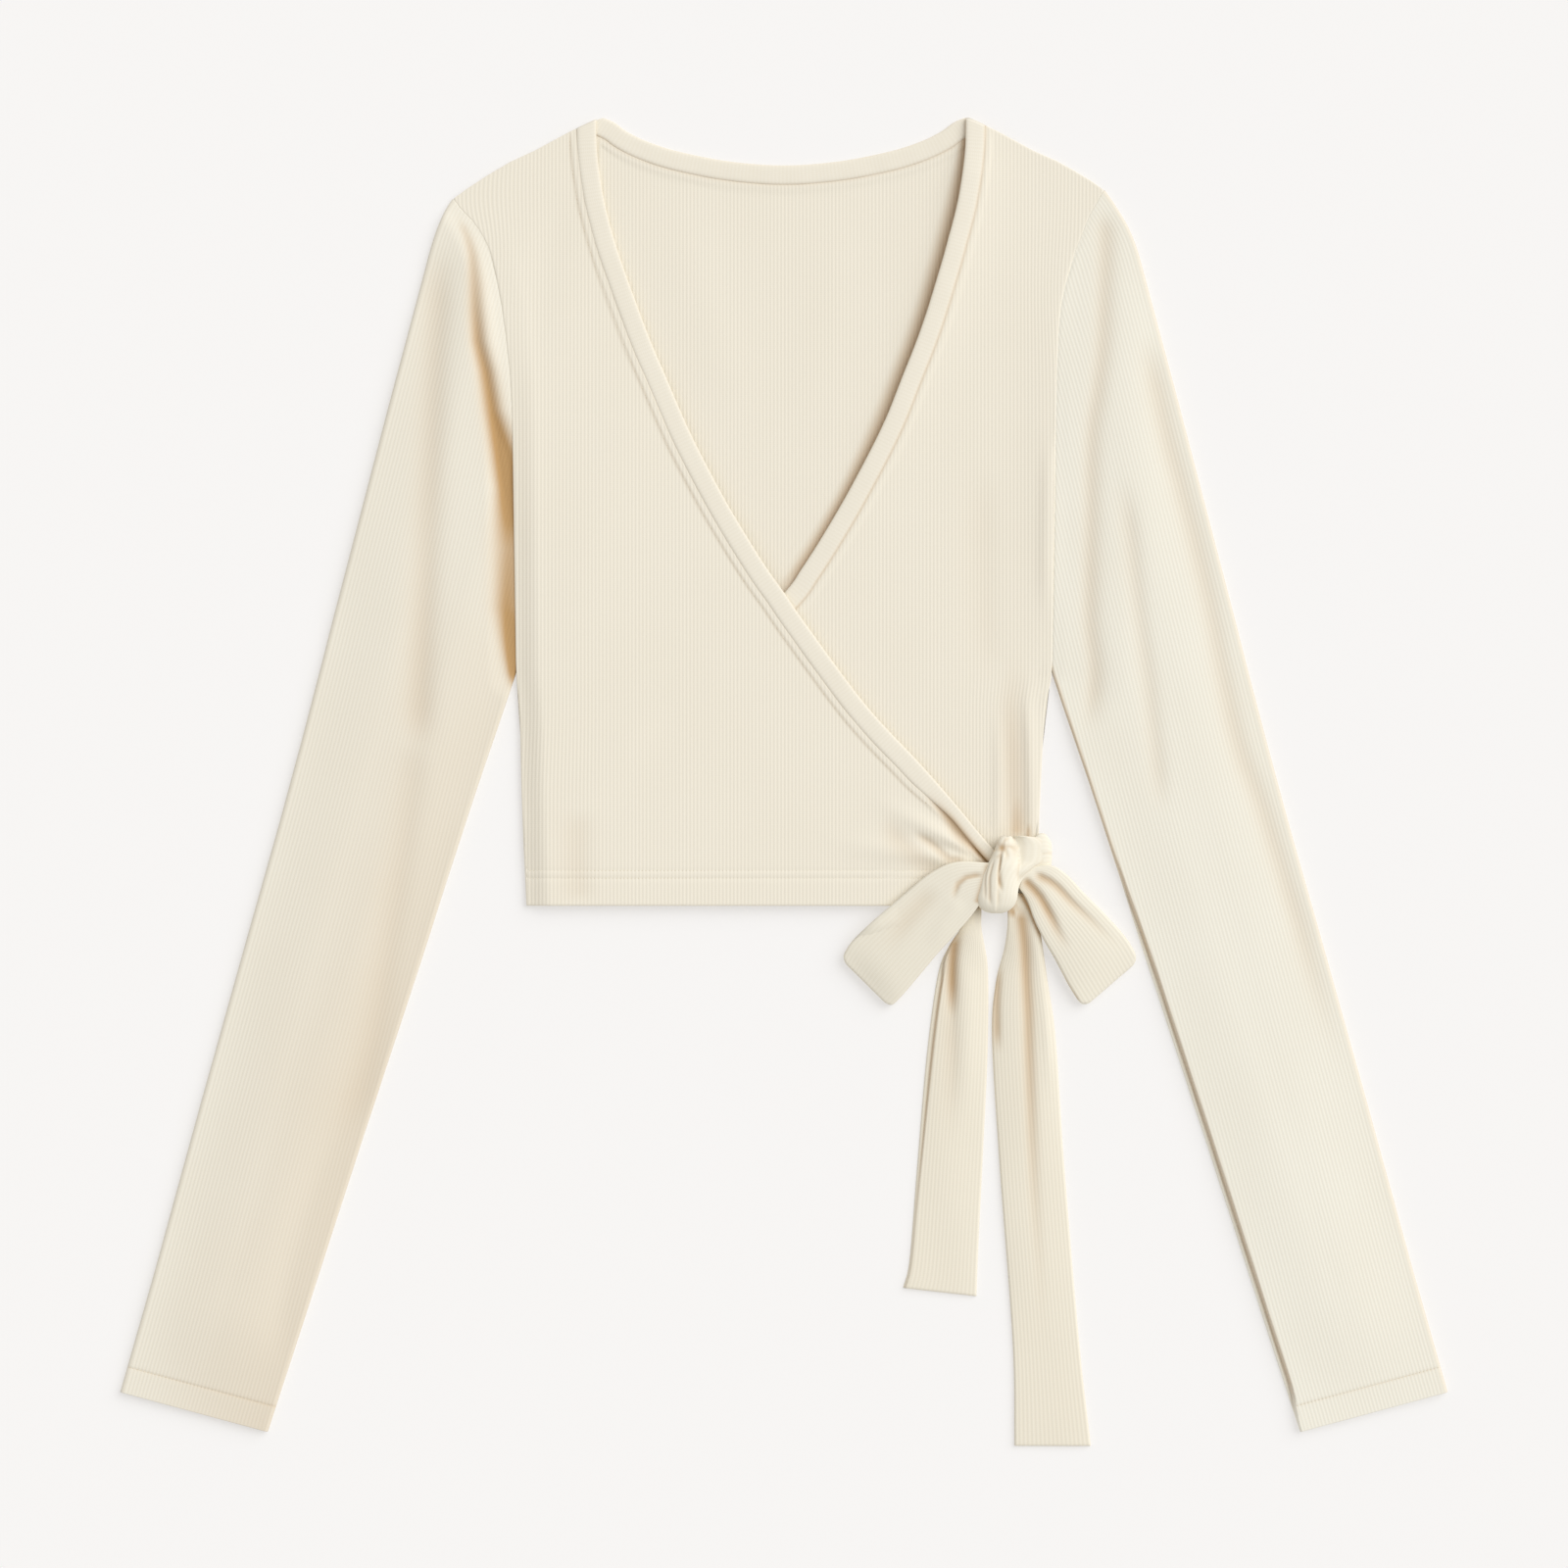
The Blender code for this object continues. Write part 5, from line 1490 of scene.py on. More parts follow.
@dataclass
class UnderFront(Panel):
    """Front that lies inside the wrap."""

    name: str = "under_front_panel"
    node: str = "front_under"
    cut: tuple[float, float] = (0.306, 0.432)
    rests_on: tuple[str, ...] = ("back_rib_panel",)
    folds: Folds = UNDER_FOLDS
    seam_tone: float = 0.24

    def columns(self) -> Array:
        """Wide columns inside the wrap, and fine ones where it shows."""
        hidden = np.hstack([[self.left], np.linspace(self.seam()[-1, 0], -24, 26)])
        return np.hstack([hidden, np.arange(-20, self.right - 0.2, RIB_STEP), [self.right]])

    def low(self, x: Array) -> Array:
        """Hem, side seam and armhole."""
        return np.where(x < 0, HEM_Y, self.shop.pattern.low(x))

    def seam(self) -> Array:
        """Seam of the under neckband."""
        return self.shop.pattern.under_seam

    def base(self, x: Array, y: Array) -> Array:
        """Height of its underside."""
        return self.shop.pattern.under_base(x, y)

    def relief(self, x: Array, y: Array) -> Pair:
        """Folds, none of them so deep that it would reach the back."""
        height, tone = super().relief(x, y)
        return np.maximum(height, -0.45), tone

    def side_distance(self, x: Array, y: Array) -> Array:
        """Distance from the right side, or from the hidden end."""
        return np.minimum(np.where(x > 0, self.shop.pattern.edge_distance(x, y) + 0.02, 99),
                          np.minimum(x - self.left, self.right - x))


@dataclass
class OverFront(Panel):
    """Front that lies outside the wrap and is gathered into the tie."""

    name: str = "over_front_panel"
    node: str = "front_over"
    cut: tuple[float, float] = (0.286, 0.432)
    rests_on: tuple[str, ...] = ("under_front_panel", "back_rib_panel")
    folds: Folds = OVER_FOLDS
    crease_depth: float = 1.9  # of the crease that runs from the neck seam into the knot
    # painted shade in that crease
    crease_tone: float = 0.72
    knot_tone: float = 0.8  # painted shade against the knot
    # painted shade along the row of stitches beside the neckband
    sewn_tone: float = 0.16

    def low(self, x: Array) -> Array:
        """Side, hem, and the edge that rises to the knot."""
        return np.where(x > OVER_TIP[0].x, lookup(OVER_TIP, "x", "y", x), self.shop.pattern.low(x))

    def seam(self) -> Array:
        """Seam of the over neckband."""
        return self.shop.pattern.over_seam

    def base(self, x: Array, y: Array) -> Array:
        """Height of its underside."""
        return self.shop.pattern.over_base(x, y)

    def relief(self, x: Array, y: Array) -> Pair:
        """Folds and gathers, the row of stitches beside the neckband, and painted shade in them and against
        the knot.

        Args:
            x, y: Across and up the drawing.

        Returns:
            Height and painted shade at each point.
        """
        height, tone = super().relief(x, y)
        off, _ = beside(self.seam()[::2], x, y)
        sewn = bell((np.abs(off) - NECK_SEWN) / 0.8) * ease((362 - y) / 10) * ease((92 - x) / 24)
        wide = 1.6 + 2.6 * bell((x - 94) / 10)
        creased = bell((np.abs(off) - TUCK) / wide) * ease((x - 74) / 19)
        gathers = self.shop.pattern.gathers(x, y)
        # Painted shade against the knot, in the crease, in the gathers' troughs and along the stitches.
        knotted = self.knot_tone * bell(np.hypot((x - 113) / 5, (y + 42) / 6))
        inside = (self.crease_tone + 0.2 * ease((x - 103) / 5)) * creased
        for share in (clamp01(-gathers / 4), self.sewn_tone * sewn, knotted, inside):
            tone = np.maximum(tone, share)
        return height + gathers - 0.6 * STITCH_DIP * sewn - self.crease_depth * creased, tone

    def stitch_lines(self) -> list[Array]:
        """Lines of the hem's stitches and of those beside the neckband.

        Returns:
            Paths in millimetres, with heights.
        """
        x = np.arange(-HEM_END + 2, 78, 1)
        lines = [np.column_stack([x, HEM_Y + row + 0 * x]) for row in HEM_SEWN]
        pattern = self.shop.pattern
        lines.append((pattern.over_seam + NECK_SEWN * pattern.over_across)[6:-24])
        settled = pattern.settled
        return [settled(np.column_stack([line, self.surface(line[:, 0], line[:, 1])])) for line in lines]


# ---- Neckbands

@dataclass
class Neckband:
    """One stretch of the doubled band round the neck."""

    shop: Workroom
    node: str
    edge: Array
    across: Array  # directions across it, 1 long where it is at its full width
    base: Height
    width: float = BAND_WIDTH - GAP
    thick: float = 2.2
    pucker: float = 0.04  # how much the sewn side puckers
    trim: float = 13  # length over which an end slants to the shoulder line
    # painted shade along the seam
    seam_tone: float = 0.05
    cut_width: float = 0.0125  # in metres, doubled
    knot_tone: float = 0  # painted shade on its sewn side beside the knot
    wall_tone: float = 0  # painted shade on the wall of its free edge
    fold_tone: float = 0.05  # painted shade on the top of that edge
    seed: int = 3

    def section(self) -> Array:
        """Rows of place across and part of the thickness: seam, underside, fold, top.

        Returns:
            The rows.
        """
        top = [(0, 0.55), (0.2, 0.76), (0.7, 0.92), (1.6, 0.98), (3.4, 1), (5.2, 1),
               (7, 1), (8.6, 0.99), (9.5, 0.95), (10.2, 0.86), (self.width - 0.15, 0.75),
               (self.width, 0.70)]
        return np.array([(self.width, 0), (5.5, 0), (1, 0), (0.15, 0.25)] + top)

    def make(self) -> Item:
        """Make this stretch of the band.

        Returns:
            The piece.
        """
        section = self.section()
        x = self.edge[:, :1] + self.across[:, :1] * section[:, 0]
        y = self.edge[:, 1:2] + self.across[:, 1:2] * section[:, 0]
        along = lengths_along(self.edge)[:, None] + 0 * x
        if self.node != "neckband_back":
            slant = self.shop.pattern.shoulder(x[0]) - y[0]
            y = y + slant * (1 - ease(along / self.trim))
        draw = np.random.default_rng(self.seed)
        wave = sum(np.sin(along / draw.uniform(2.2, 6) + draw.uniform(0, math.tau)) for _ in range(4))
        puckered = self.pucker * wave / 2 * (section[:, 1] > 0.5) * (section[:, 0] > 3)
        hidden = clamp01((np.abs(x) - 104) / 3) * (self.node == "neckband_back")
        z = self.base(x, y) + section[:, 1] * (self.thick - 0.95 * hidden) + puckered
        sewn = self.width - section[:, 0]
        # Painted shade along the seam, on the fold of the free edge, on that edge's wall and beside the knot.
        tone = self.seam_tone * bell(sewn / 0.7) * (section[:, 1] > 0.3)
        tone = tone + self.fold_tone * bell(section[:, 0] / 0.9)
        tone = np.maximum(tone, self.wall_tone * (section[:, 0] < 1.1) * (section[:, 1] < 0.6))
        tone = np.maximum(tone, self.knot_tone * bell(sewn / 3) * ease((x - 76) / 18))
        shell = Shell()
        points = self.shop.pattern.settled(np.dstack([x, y, z]))
        shell.bar(shell.add(points, along, section[:, 0] + 0 * x, 0, tone))
        item = self.shop.dress(shell, f"{self.node}_stretch", Slot.NECKBAND, self.node)
        return item


# ---- Sleeves

@dataclass
class Sleeve:
    """Long sleeve: a flattened tube, open at the cuff and at the armhole."""

    shop: Workroom
    side: Side
    folds: Folds
    inner_zone: float = 5.4  # the inner folded edge is drawn in this width
    outer_zone: float = 3.2
    fine: int = 292  # columns of the upper side between the edges
    height: float = 7  # outside height along the middle
    edge_height: float = 4.6
    cuff_height: float = 4.2
    valley: float = 9  # how far from the armhole seam it has risen
    lip: float = 0  # width of the lower layer that shows beside the inner fold
    lip_from: float = -70  # up the sleeve, where that begins
    crease: tuple[CreaseRow, ...] = ()
    crease_level: float = 2.2  # outside height at the bottom of the crease
    ribs: float = 0.65  # the sleeves are stretched, so their ribs lie flatter
    veil: float = 0  # painted shade on its lower half
    dusk: float = 0.03  # how much more painted shade that gets on its right
    crown_veil: float = 0.08  # painted shade on its upper half
    rim_tone: float = 0.06  # painted shade along its outer edge
    lip_tone: float = 0.5  # painted shade on the line beside the lower layer
    lip_height: float = 1.5  # outside height of that layer
    cuff_tone: float = 0.12  # painted shade along the cuff's row of stitches
    unevenness: float = 0.30  # height of slow waves in the cloth
    seed: int = 5

    def frame(self) -> Pair:
        """Directions across and up the sleeve in plan.

        Returns:
            Two unit vectors.
        """
        lean = math.radians(SLEEVE_LEAN_DEG)
        sign = self.side.value
        return (np.array([sign * math.cos(lean), math.sin(lean)]),
                np.array([-sign * math.sin(lean), math.cos(lean)]))

    def armhole(self) -> Pair:
        """Armhole seam in the sleeve's frame, as rows of u and v.

        Returns:
            Places u and v of its points.
        """
        lean = math.radians(SLEEVE_LEAN_DEG)
        points = self.shop.pattern.armhole - (TUCK, 0)
        return (points @ np.array([math.cos(lean), math.sin(lean)]),
                points @ np.array([-math.sin(lean), math.cos(lean)]))

    def across(self, part: Array, shift: Array, v: Array) -> Array:
        """Place u of a column: part runs between the edge zones, shift goes out of them.

        Args:
            part: Part of the way from the inner zone to the outer.
            shift: How far it lies out of them.
            v: Up the sleeve.

        Returns:
            Place u.
        """
        inner = lookup(SLEEVE_EDGES, "v", "inner_u", v) + self.inner_zone
        outer = lookup(SLEEVE_EDGES, "v", "outer_u", v) - self.outer_zone
        return inner + part * (outer - inner) + shift

    def tops(self, part: Array, shift: Array) -> Array:
        """Height v at which each column meets the armhole seam.

        Args:
            part: Part of the way from the inner zone to the outer.
            shift: How far it lies out of them.

        Returns:
            Height of each column's end.
        """
        u_seam, v_seam = self.armhole()
        low, high = np.full(part.shape, v_seam[0]), np.full(part.shape, v_seam[-1])
        for _ in range(30):
            middle = 0.5 * (low + high)
            outside = self.across(part, shift, middle) > np.interp(middle, v_seam, u_seam)
            low, high = np.where(outside, middle, low), np.where(outside, high, middle)
        return low

    def levels(self, tops: Array) -> Array:
        """Rows v of every column, from the cuff to the armhole.

        Args:
            tops: Height of each column's end.

        Returns:
            Grid of v, rows first.
        """
        cuff = CUFF_V + np.array([0, 0.3, 0.8, 1.6, 4, 7.5, 11, 13.2, 13.8, 14.2, 14.5, 14.8, 15.2,
                                  15.8, 17.5])
        parts = np.hstack([np.linspace(0, 0.55, 50), np.linspace(0.555, 0.985, 106),
                                [0.989, 0.993, 0.996, 0.9985, 1]])[1:]
        body = cuff[-1] + parts[:, None] * (tops - cuff[-1])
        return np.vstack([np.broadcast_to(cuff[:, None], (len(cuff), len(tops))), body])

    def top_height(self, u: Array, v: Array) -> Pair:
        """Outside height and painted shade of the upper side.

        Args:
            u: Across the sleeve.
            v: Up the sleeve.

        Returns:
            Height, and the painted shade at each point.
        """
        x, y = self.place(u, v)
        up = v - CUFF_V
        inside, outside = self.margins(u, v)
        off, _ = beside(self.shop.pattern.armhole, self.side.value * x, y)
        off = np.abs(off)
        crown = self.edge_height + (self.height - self.edge_height) * ease(np.minimum(inside, outside) / 40)
        cuffward = ease(up / 60)
        full = self.cuff_height + (crown - self.cuff_height) * cuffward
        folds, tone = folded(self.folds, x, y)
        folds = folds + ripple(x, y, self.unevenness, 70, self.seed) * cuffward
        seam = lookup(ARMHOLE_LIFT, "y", self.side.word, y) + 0.6 + 0.5 * rounded(off, 1.4)
        height = seam + (full - seam) * ease(off / self.valley) + folds * ease(off / 8)
        if self.crease:
            away = x - lookup(self.crease, "y", "x", y)
            far, near = (lookup(self.crease, "y", side, y) for side in ("far", "near"))
            depth = lookup(self.crease, "y", "depth", y) * ease((320 - y) / 12) * ease((y - 50) / 12)
            deep = depth * bell(away / np.where(away > 0, near, far))
            height = height + clamp01(1.15 * deep ** 1.5) * (self.crease_level - height)
            # Painted shade in the bottom of the crease.
            tone = np.maximum(tone, clamp01(1.2 * deep))
        height -= STITCH_DIP * bell((up - CUFF_SEWN) / 0.6)
        # Painted shade along the cuff's row of stitches.
        tone = np.maximum(tone, self.cuff_tone * bell((up - CUFF_SEWN) / 0.9))
        shown = self.lip * ease((self.lip_from - v) / 90) * ease((up - 4) / 26)
        strip = self.lip_height - 0.6 * bell((inside - shown) / 0.6)
        rolled = strip + (height - strip) * ease((inside - shown) / 1.5)
        height = height + (rolled - height) * clamp01(shown)
        # Painted shade on the line beside the lower layer.
        line = (self.lip > 0) * ease((up - 4) / 26) * ease((40 - v) / 30)
        tone = np.maximum(tone, self.lip_tone * line * bell((inside - 0.6 - shown) / 1.1))
        # Painted shade over the upper half, more over the lower half and its right side, and along the outer
        # edge.
        part = (inside if self.side is Side.RIGHT else outside) / (inside + outside)
        lower = 0.5 * ease((80 - v) / 60) + 0.5 * ease((60 - v) / 300)
        veil = self.crown_veil + (self.veil - self.crown_veil + self.dusk * clamp01(part)) * lower
        tone = np.maximum(tone, self.rim_tone * bell(outside / 1.8))
        return height, clamp01(tone + veil)

    def place(self, u: Array, v: Array) -> Pair:
        """Drawing coordinates of a place on the sleeve."""
        across, along = self.frame()
        return u * across[0] + v * along[0], u * across[1] + v * along[1]

    def margins(self, u: Array, v: Array) -> Pair:
        """Distances from the inner and the outer folded edge."""
        return (u - lookup(SLEEVE_EDGES, "v", "inner_u", v),
                lookup(SLEEVE_EDGES, "v", "outer_u", v) - u)

    def rings(self, lower: Pair, upper: Pair, wall: float) -> dict[str, Array]:
        """Rings of points round the tube from cuff to armhole.

        Args:
            lower: Part and shift of each column of the lower side, inner edge first.
            upper: The same for the upper side, outer edge first.
            wall: 0 on the outside, the cloth's thickness on the inside.

        Returns:
            Points, places across and along, rib share and painted shade of every ring.
        """
        part = np.hstack([lower[0], upper[0]])
        shift = np.hstack([lower[1], upper[1]])
        is_upper = np.hstack([np.zeros(len(lower[0])), np.ones(len(upper[0]))])
        v = self.levels(self.tops(part, shift))
        u = self.across(part, shift, v)
        x, y = self.place(u, v)
        inside, outside = self.margins(u, v)
        top, tone = self.top_height(u, v)
        half = 0.5 * top
        reach = 1.1 if self.lip > 0 else 2.3
        bulge = np.minimum(rounded(inside, reach), rounded(outside, 2.3))
        upper_z = half + (top - half) * bulge - wall
        lower_z = half * (1 - bulge) + wall
        z = np.where(is_upper > 0.5, upper_z, np.minimum(lower_z, upper_z + 2 * wall))
        rim = np.minimum(clamp01((v - CUFF_V) / RIM), clamp01((v[-1] - v) / 3))
        ribbed = self.ribs * is_upper * rim * clamp01(outside / 1.5) * clamp01(inside) * (wall == 0)
        return {"points": self.shop.pattern.drawn(np.dstack([x, y, z])), "across": outside, "along": v,
                "ribbed": ribbed, "hollow": tone * is_upper}

    def make(self) -> Item:
        """Make the sleeve.

        Returns:
            The piece.
        """
        inner_in = np.array([5.4, 4.7, 4.2, 3.8, 3.4, 3, 2.7, 2.4, 2.1, 1.8, 1.4, 1, 0.5, 0.2, 0])
        outer_in = np.array([0, 0.2, 0.6, 1.1, 1.7, 2.4])
        middle = np.linspace(0, 1, self.fine + 1)
        upper = (np.hstack([np.ones(len(outer_in)), middle[::-1], np.zeros(len(inner_in) - 1)]),
                 np.hstack([self.outer_zone - outer_in, 0 * middle, inner_in[1:] - self.inner_zone]))
        coarse = np.linspace(0, 1, 12)
        lower = (np.hstack([[0, 0], coarse, [1, 1]]),
                 np.hstack([[-4.9, -3.6], 0 * coarse, [1.8, 2.8]]))
        plain = np.linspace(0, 1, 34)
        inner_lower = (np.linspace(0, 1, 12), np.zeros(12))
        inner_upper = (np.hstack([[1], plain[::-1], [0]]),
                       np.hstack([[1], 0 * plain, [-1]]))
        shell = Shell()
        numbers = []
        for low_side, up_side, wall in ((lower, upper, 0), (inner_lower, inner_upper, CLOTH)):
            ring = self.rings(low_side, up_side, wall)
            if wall > 0:
                last = len(ring["along"]) - 1
                kept = np.unique(np.append(np.arange(0, last, 4), last))
                ring = {key: value[kept] for key, value in ring.items()}
            numbers.append(shell.add(**ring))
        outer, inner = (np.hstack([n, n[:, :1]]) for n in numbers)
        shell.grid(outer)
        shell.grid(inner, flip=True)
        stops_out = (0, len(lower[0]) - 1, outer.shape[1] - 1)
        stops_in = (0, len(inner_lower[0]) - 1, inner.shape[1] - 1)
        for end, flip in ((0, False), (-1, True)):
            for k in range(2):
                shell.seam(outer[end, stops_out[k]:stops_out[k + 1] + 1],
                           inner[end, stops_in[k]:stops_in[k + 1] + 1], flip)
        node = f"sleeve_{self.side.word}"
        item = self.shop.dress(shell, f"{node}_tube", Slot.SLEEVE, node)
        return item

    def cuff_line(self) -> Array:
        """Line of the cuff's stitches, on its upper side.

        Returns:
            Path in millimetres, with heights.
        """
        v = np.full(60, CUFF_V + CUFF_SEWN)
        u = self.across(np.linspace(-0.03, 1.02, 60), np.zeros(60), v)
        x, y = self.place(u, v)
        return np.column_stack([x, y, self.top_height(u, v)[0]])


# ---- Ties

def drape(x: Array, y: Array, level: float, start: float, length: float) -> Array:
    """Underside of a tie: on the body, then down to the floor past its edge.

    Args:
        x, y: Across and up the drawing.
        level: Height on the body.
        start: How far past the body's edge it begins to fall.
        length: How far it takes to reach the floor.

    Returns:
        Height at each point.
    """
    past_side = np.maximum(x - SIDE_AND_ARMHOLE[1].half_width, 0)
    past_hem = np.maximum(HEM_Y - y, 0)
    return level * (1 - ease((np.hypot(past_side, past_hem) - start) / length))


@dataclass
class BowLoop:
    """A tie doubled back on itself round its outer end."""

    shop: Workroom
    side: Side
    rows: tuple[LoopRow, ...]
    folds: Folds
    level: float  # underside over the body
    rest_on: tuple[str, ...]
    height: float = 6.6  # outside height over that
    tip_height: float = 5  # outside height over the floor at the outer end
    crown: float = 1.4  # how much it swells between its edges
    tucked: float = 0  # how far its start is pressed down at the knot
    length: float = 95
    corner: float = 5  # radius of its outer corners
    columns: int = 100
    seed: int = 7

    def plan(self, along: Array, part: Array) -> Pair:
        """Plan point by place along the loop and across it.

        Args:
            along: Part of its length.
            part: Part of its width.

        Returns:
            Places across and up the drawing.
        """
        table = np.array(self.rows)
        at = along * (len(table) - 1)
        ends = curve_through(table, at.ravel()).reshape(*at.shape, 4)
        return (ends[..., 0] + part * (ends[..., 2] - ends[..., 0]),
                ends[..., 1] + part * (ends[..., 3] - ends[..., 1]))

    def surface(self, along: Array, rise: Array, part: Array, inset: float) -> dict[str, Array]:
        """Points of the loop's outside, or of its inside.

        Args:
            along: Places along it: out on the floor side and back on top.
            rise: 0 on the floor side and 1 on top, for each place.
            part: Places across it.
            inset: 0 on the outside, the tie's thickness on the inside.

        Returns:
            Points, places across and along, rib share and painted shade.
        """
        along_grid, part_grid = np.meshgrid(along, part)
        rise_grid = np.broadcast_to(rise, along_grid.shape)
        side = np.minimum(part_grid, 1 - part_grid) * TIE_WIDTH
        cut = self.corner / self.length * (1 - rounded(side, self.corner))
        along_grid = along_grid - cut * ease((along_grid - 0.8) / 0.15)
        x, y = self.plan(along_grid, part_grid)
        floor = drape(x, y, self.level, 10, 18) + inset
        # Folds in the mesh, with painted shade in their troughs.
        folds, tone = folded(self.folds, x, y)
        folds = folds + ripple(x, y, 0.18, 34, self.seed)
        swell = self.crown * np.sin(math.pi * part_grid) ** 0.8 * ease((1.02 - along_grid) / 0.25)
        start = self.level + self.height
        pressed = self.tucked * ease((0.3 - along_grid) / 0.3)
        top = start + (self.tip_height - start) * along_grid ** 1.2 + swell + folds - inset - pressed
        edge = rounded(side, 1.6)
        over = np.maximum(top - floor, 0.6) - 1.1 * (1 - edge)
        z = floor + rise_grid * over + (1 - rise_grid) * 0.5 * (1 - edge)
        on_top = ease((rise_grid - 0.5) / 0.5)
        ribbed = TIE_RIBS * on_top * clamp01(side / 1.2) * (inset == 0)
        return {"points": np.dstack([x, y, z]), "across": part_grid * TIE_WIDTH,
                "along": along_grid * self.length, "ribbed": ribbed, "hollow": tone * on_top}

    def make(self) -> Item:
        """Make the loop.

        Returns:
            The piece.
        """
        turn = np.radians(np.array([-70, -45, -20, 0, 20, 45, 70]))
        shell, grids = Shell(), []
        for inset, out, back, count in ((0, 14, 60, self.columns), (TIE_THICK, 10, 22, 16)):
            end = 0.994 - inset / self.length
            tip = end - 0.012 * (1 - np.cos(turn))
            along = np.hstack([np.linspace(0, end - 0.02, out), tip,
                                    np.linspace(end - 0.02, 0, back)])
            rise = np.hstack([np.zeros(out), 0.5 + 0.5 * np.sin(turn), np.ones(back)])
            part = np.linspace(0, 1, count + 1)
            grids.append(shell.add(**self.surface(along, rise, part, inset)))
        shell.sheet(*grids)
        item = self.shop.dress(shell, f"bow_{self.side.word}_loop", Slot.TIE, f"bow_loop_{self.side.word}")
        return (item, list(self.rest_on))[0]


@dataclass
class TieEnd:
    """Hanging end of a tie, a doubled strip with soft folds along it."""

    shop: Workroom
    side: Side
    rows: tuple[TailRow, ...]
    folds: Folds
    lip: float  # width of the lower layer that shows at its left edge
    flat_length: float
    level: float = UNDER_LEVEL + WALL + HEM_EXTRA + GAP
    slant: float = 0  # how much lower its end hangs on the right
    veil: float = 0.05  # painted shade all over
    lip_tone: float = 0.2  # painted shade on the step down to the lower layer
    arch: float = 2.4
    columns: int = 104
    step: float = 3.5
    seed: int = 11

    def outline(self) -> tuple[Array, Array, Array]:
        """Places down the tie, with its left and right edges.

        Returns:
            Places up the drawing, and x of both edges at each.
        """
        table, fine = np.array(self.rows), spread(self.rows, 400)
        y = np.linspace(table[0, 0], table[-1, 0], int((table[0, 0] - table[-1, 0]) / self.step))
        y = np.hstack([y[:-1], y[-1] + np.array([1.6, 0.8, 0.3, 0])])
        return y, np.interp(-y, -fine[:, 0], fine[:, 1]), np.interp(-y, -fine[:, 0], fine[:, 2])

    def make(self) -> Item:
        """Make the tie end.

        Returns:
            The piece.
        """
        y_line, left, right = self.outline()
        length = y_line[0] - y_line[-1]
        shell, grids = Shell(), []
        for top_side, count in ((True, self.columns), (False, 18)):
            part = np.linspace(0, 1, count + 1)
            part_grid, y = np.meshgrid(part, y_line, indexing="ij")
            x = left + part_grid * (right - left)
            along = (y_line[0] - y) / length
            y = y - self.slant * part_grid * ease((along - 0.86) / 0.14)
            end = (1 - along) * length
            from_left, from_right = part_grid * (right - left), (1 - part_grid) * (right - left)
            side = np.minimum(from_left, from_right)
            floor = drape(x, y, self.level, 4, 36)
            clear = ease((along - 0.02) / 0.08)
            folds, tone = folded(self.folds, x, y)
            folds = (folds + ripple(x, y, 0.22, 38, self.seed)) * clear
            fall = 0.25 + 0.75 * ease((0.9 - along) / 0.8)
            arch = self.arch * np.sin(math.pi * part_grid) ** 0.6 * fall * clear
            stands = np.maximum(arch + folds, 0)
            if top_side:
                lip = self.lip * ease((along - 0.12) / 0.1) * (1 - 0.72 * ease((along - 0.4) / 0.5))
                step = np.where(lip > 0.1, ease((from_left - lip) / 0.9), 1)
                edge = rounded(np.minimum(side, end + 0.02), 1.1)
                z = floor + 1.1 + (stands + 0.9) * step - 0.9 * (1 - edge)
                # Painted shade in the folds, at the step down to the lower layer, and a little all over.
                tone = tone + self.lip_tone * lip * bell((from_left - lip - 0.2) / 0.7) + self.veil
                ribbed = TIE_RIBS * clamp01(side / 1.2) * clamp01(end / RIM)
            else:
                z, tone, ribbed = floor + 0.6 * stands * clamp01(side / 6), 0 * x, 0 * x
            grids.append(shell.add(np.dstack([x, y, z]), part_grid * TIE_WIDTH, y, ribbed, clamp01(tone)))
        shell.sheet(*grids)
        item = self.shop.dress(shell, f"tie_{self.side.word}_end", Slot.TIE, f"tie_tail_{self.side.word}")
        return item


class Pleat(NamedTuple):
    """A groove down the knot, in degrees round it from its right side."""

    top_deg: float
    bottom_deg: float
    depth: float
    width_deg: float
    start: float  # parts of the knot's length
    end: float


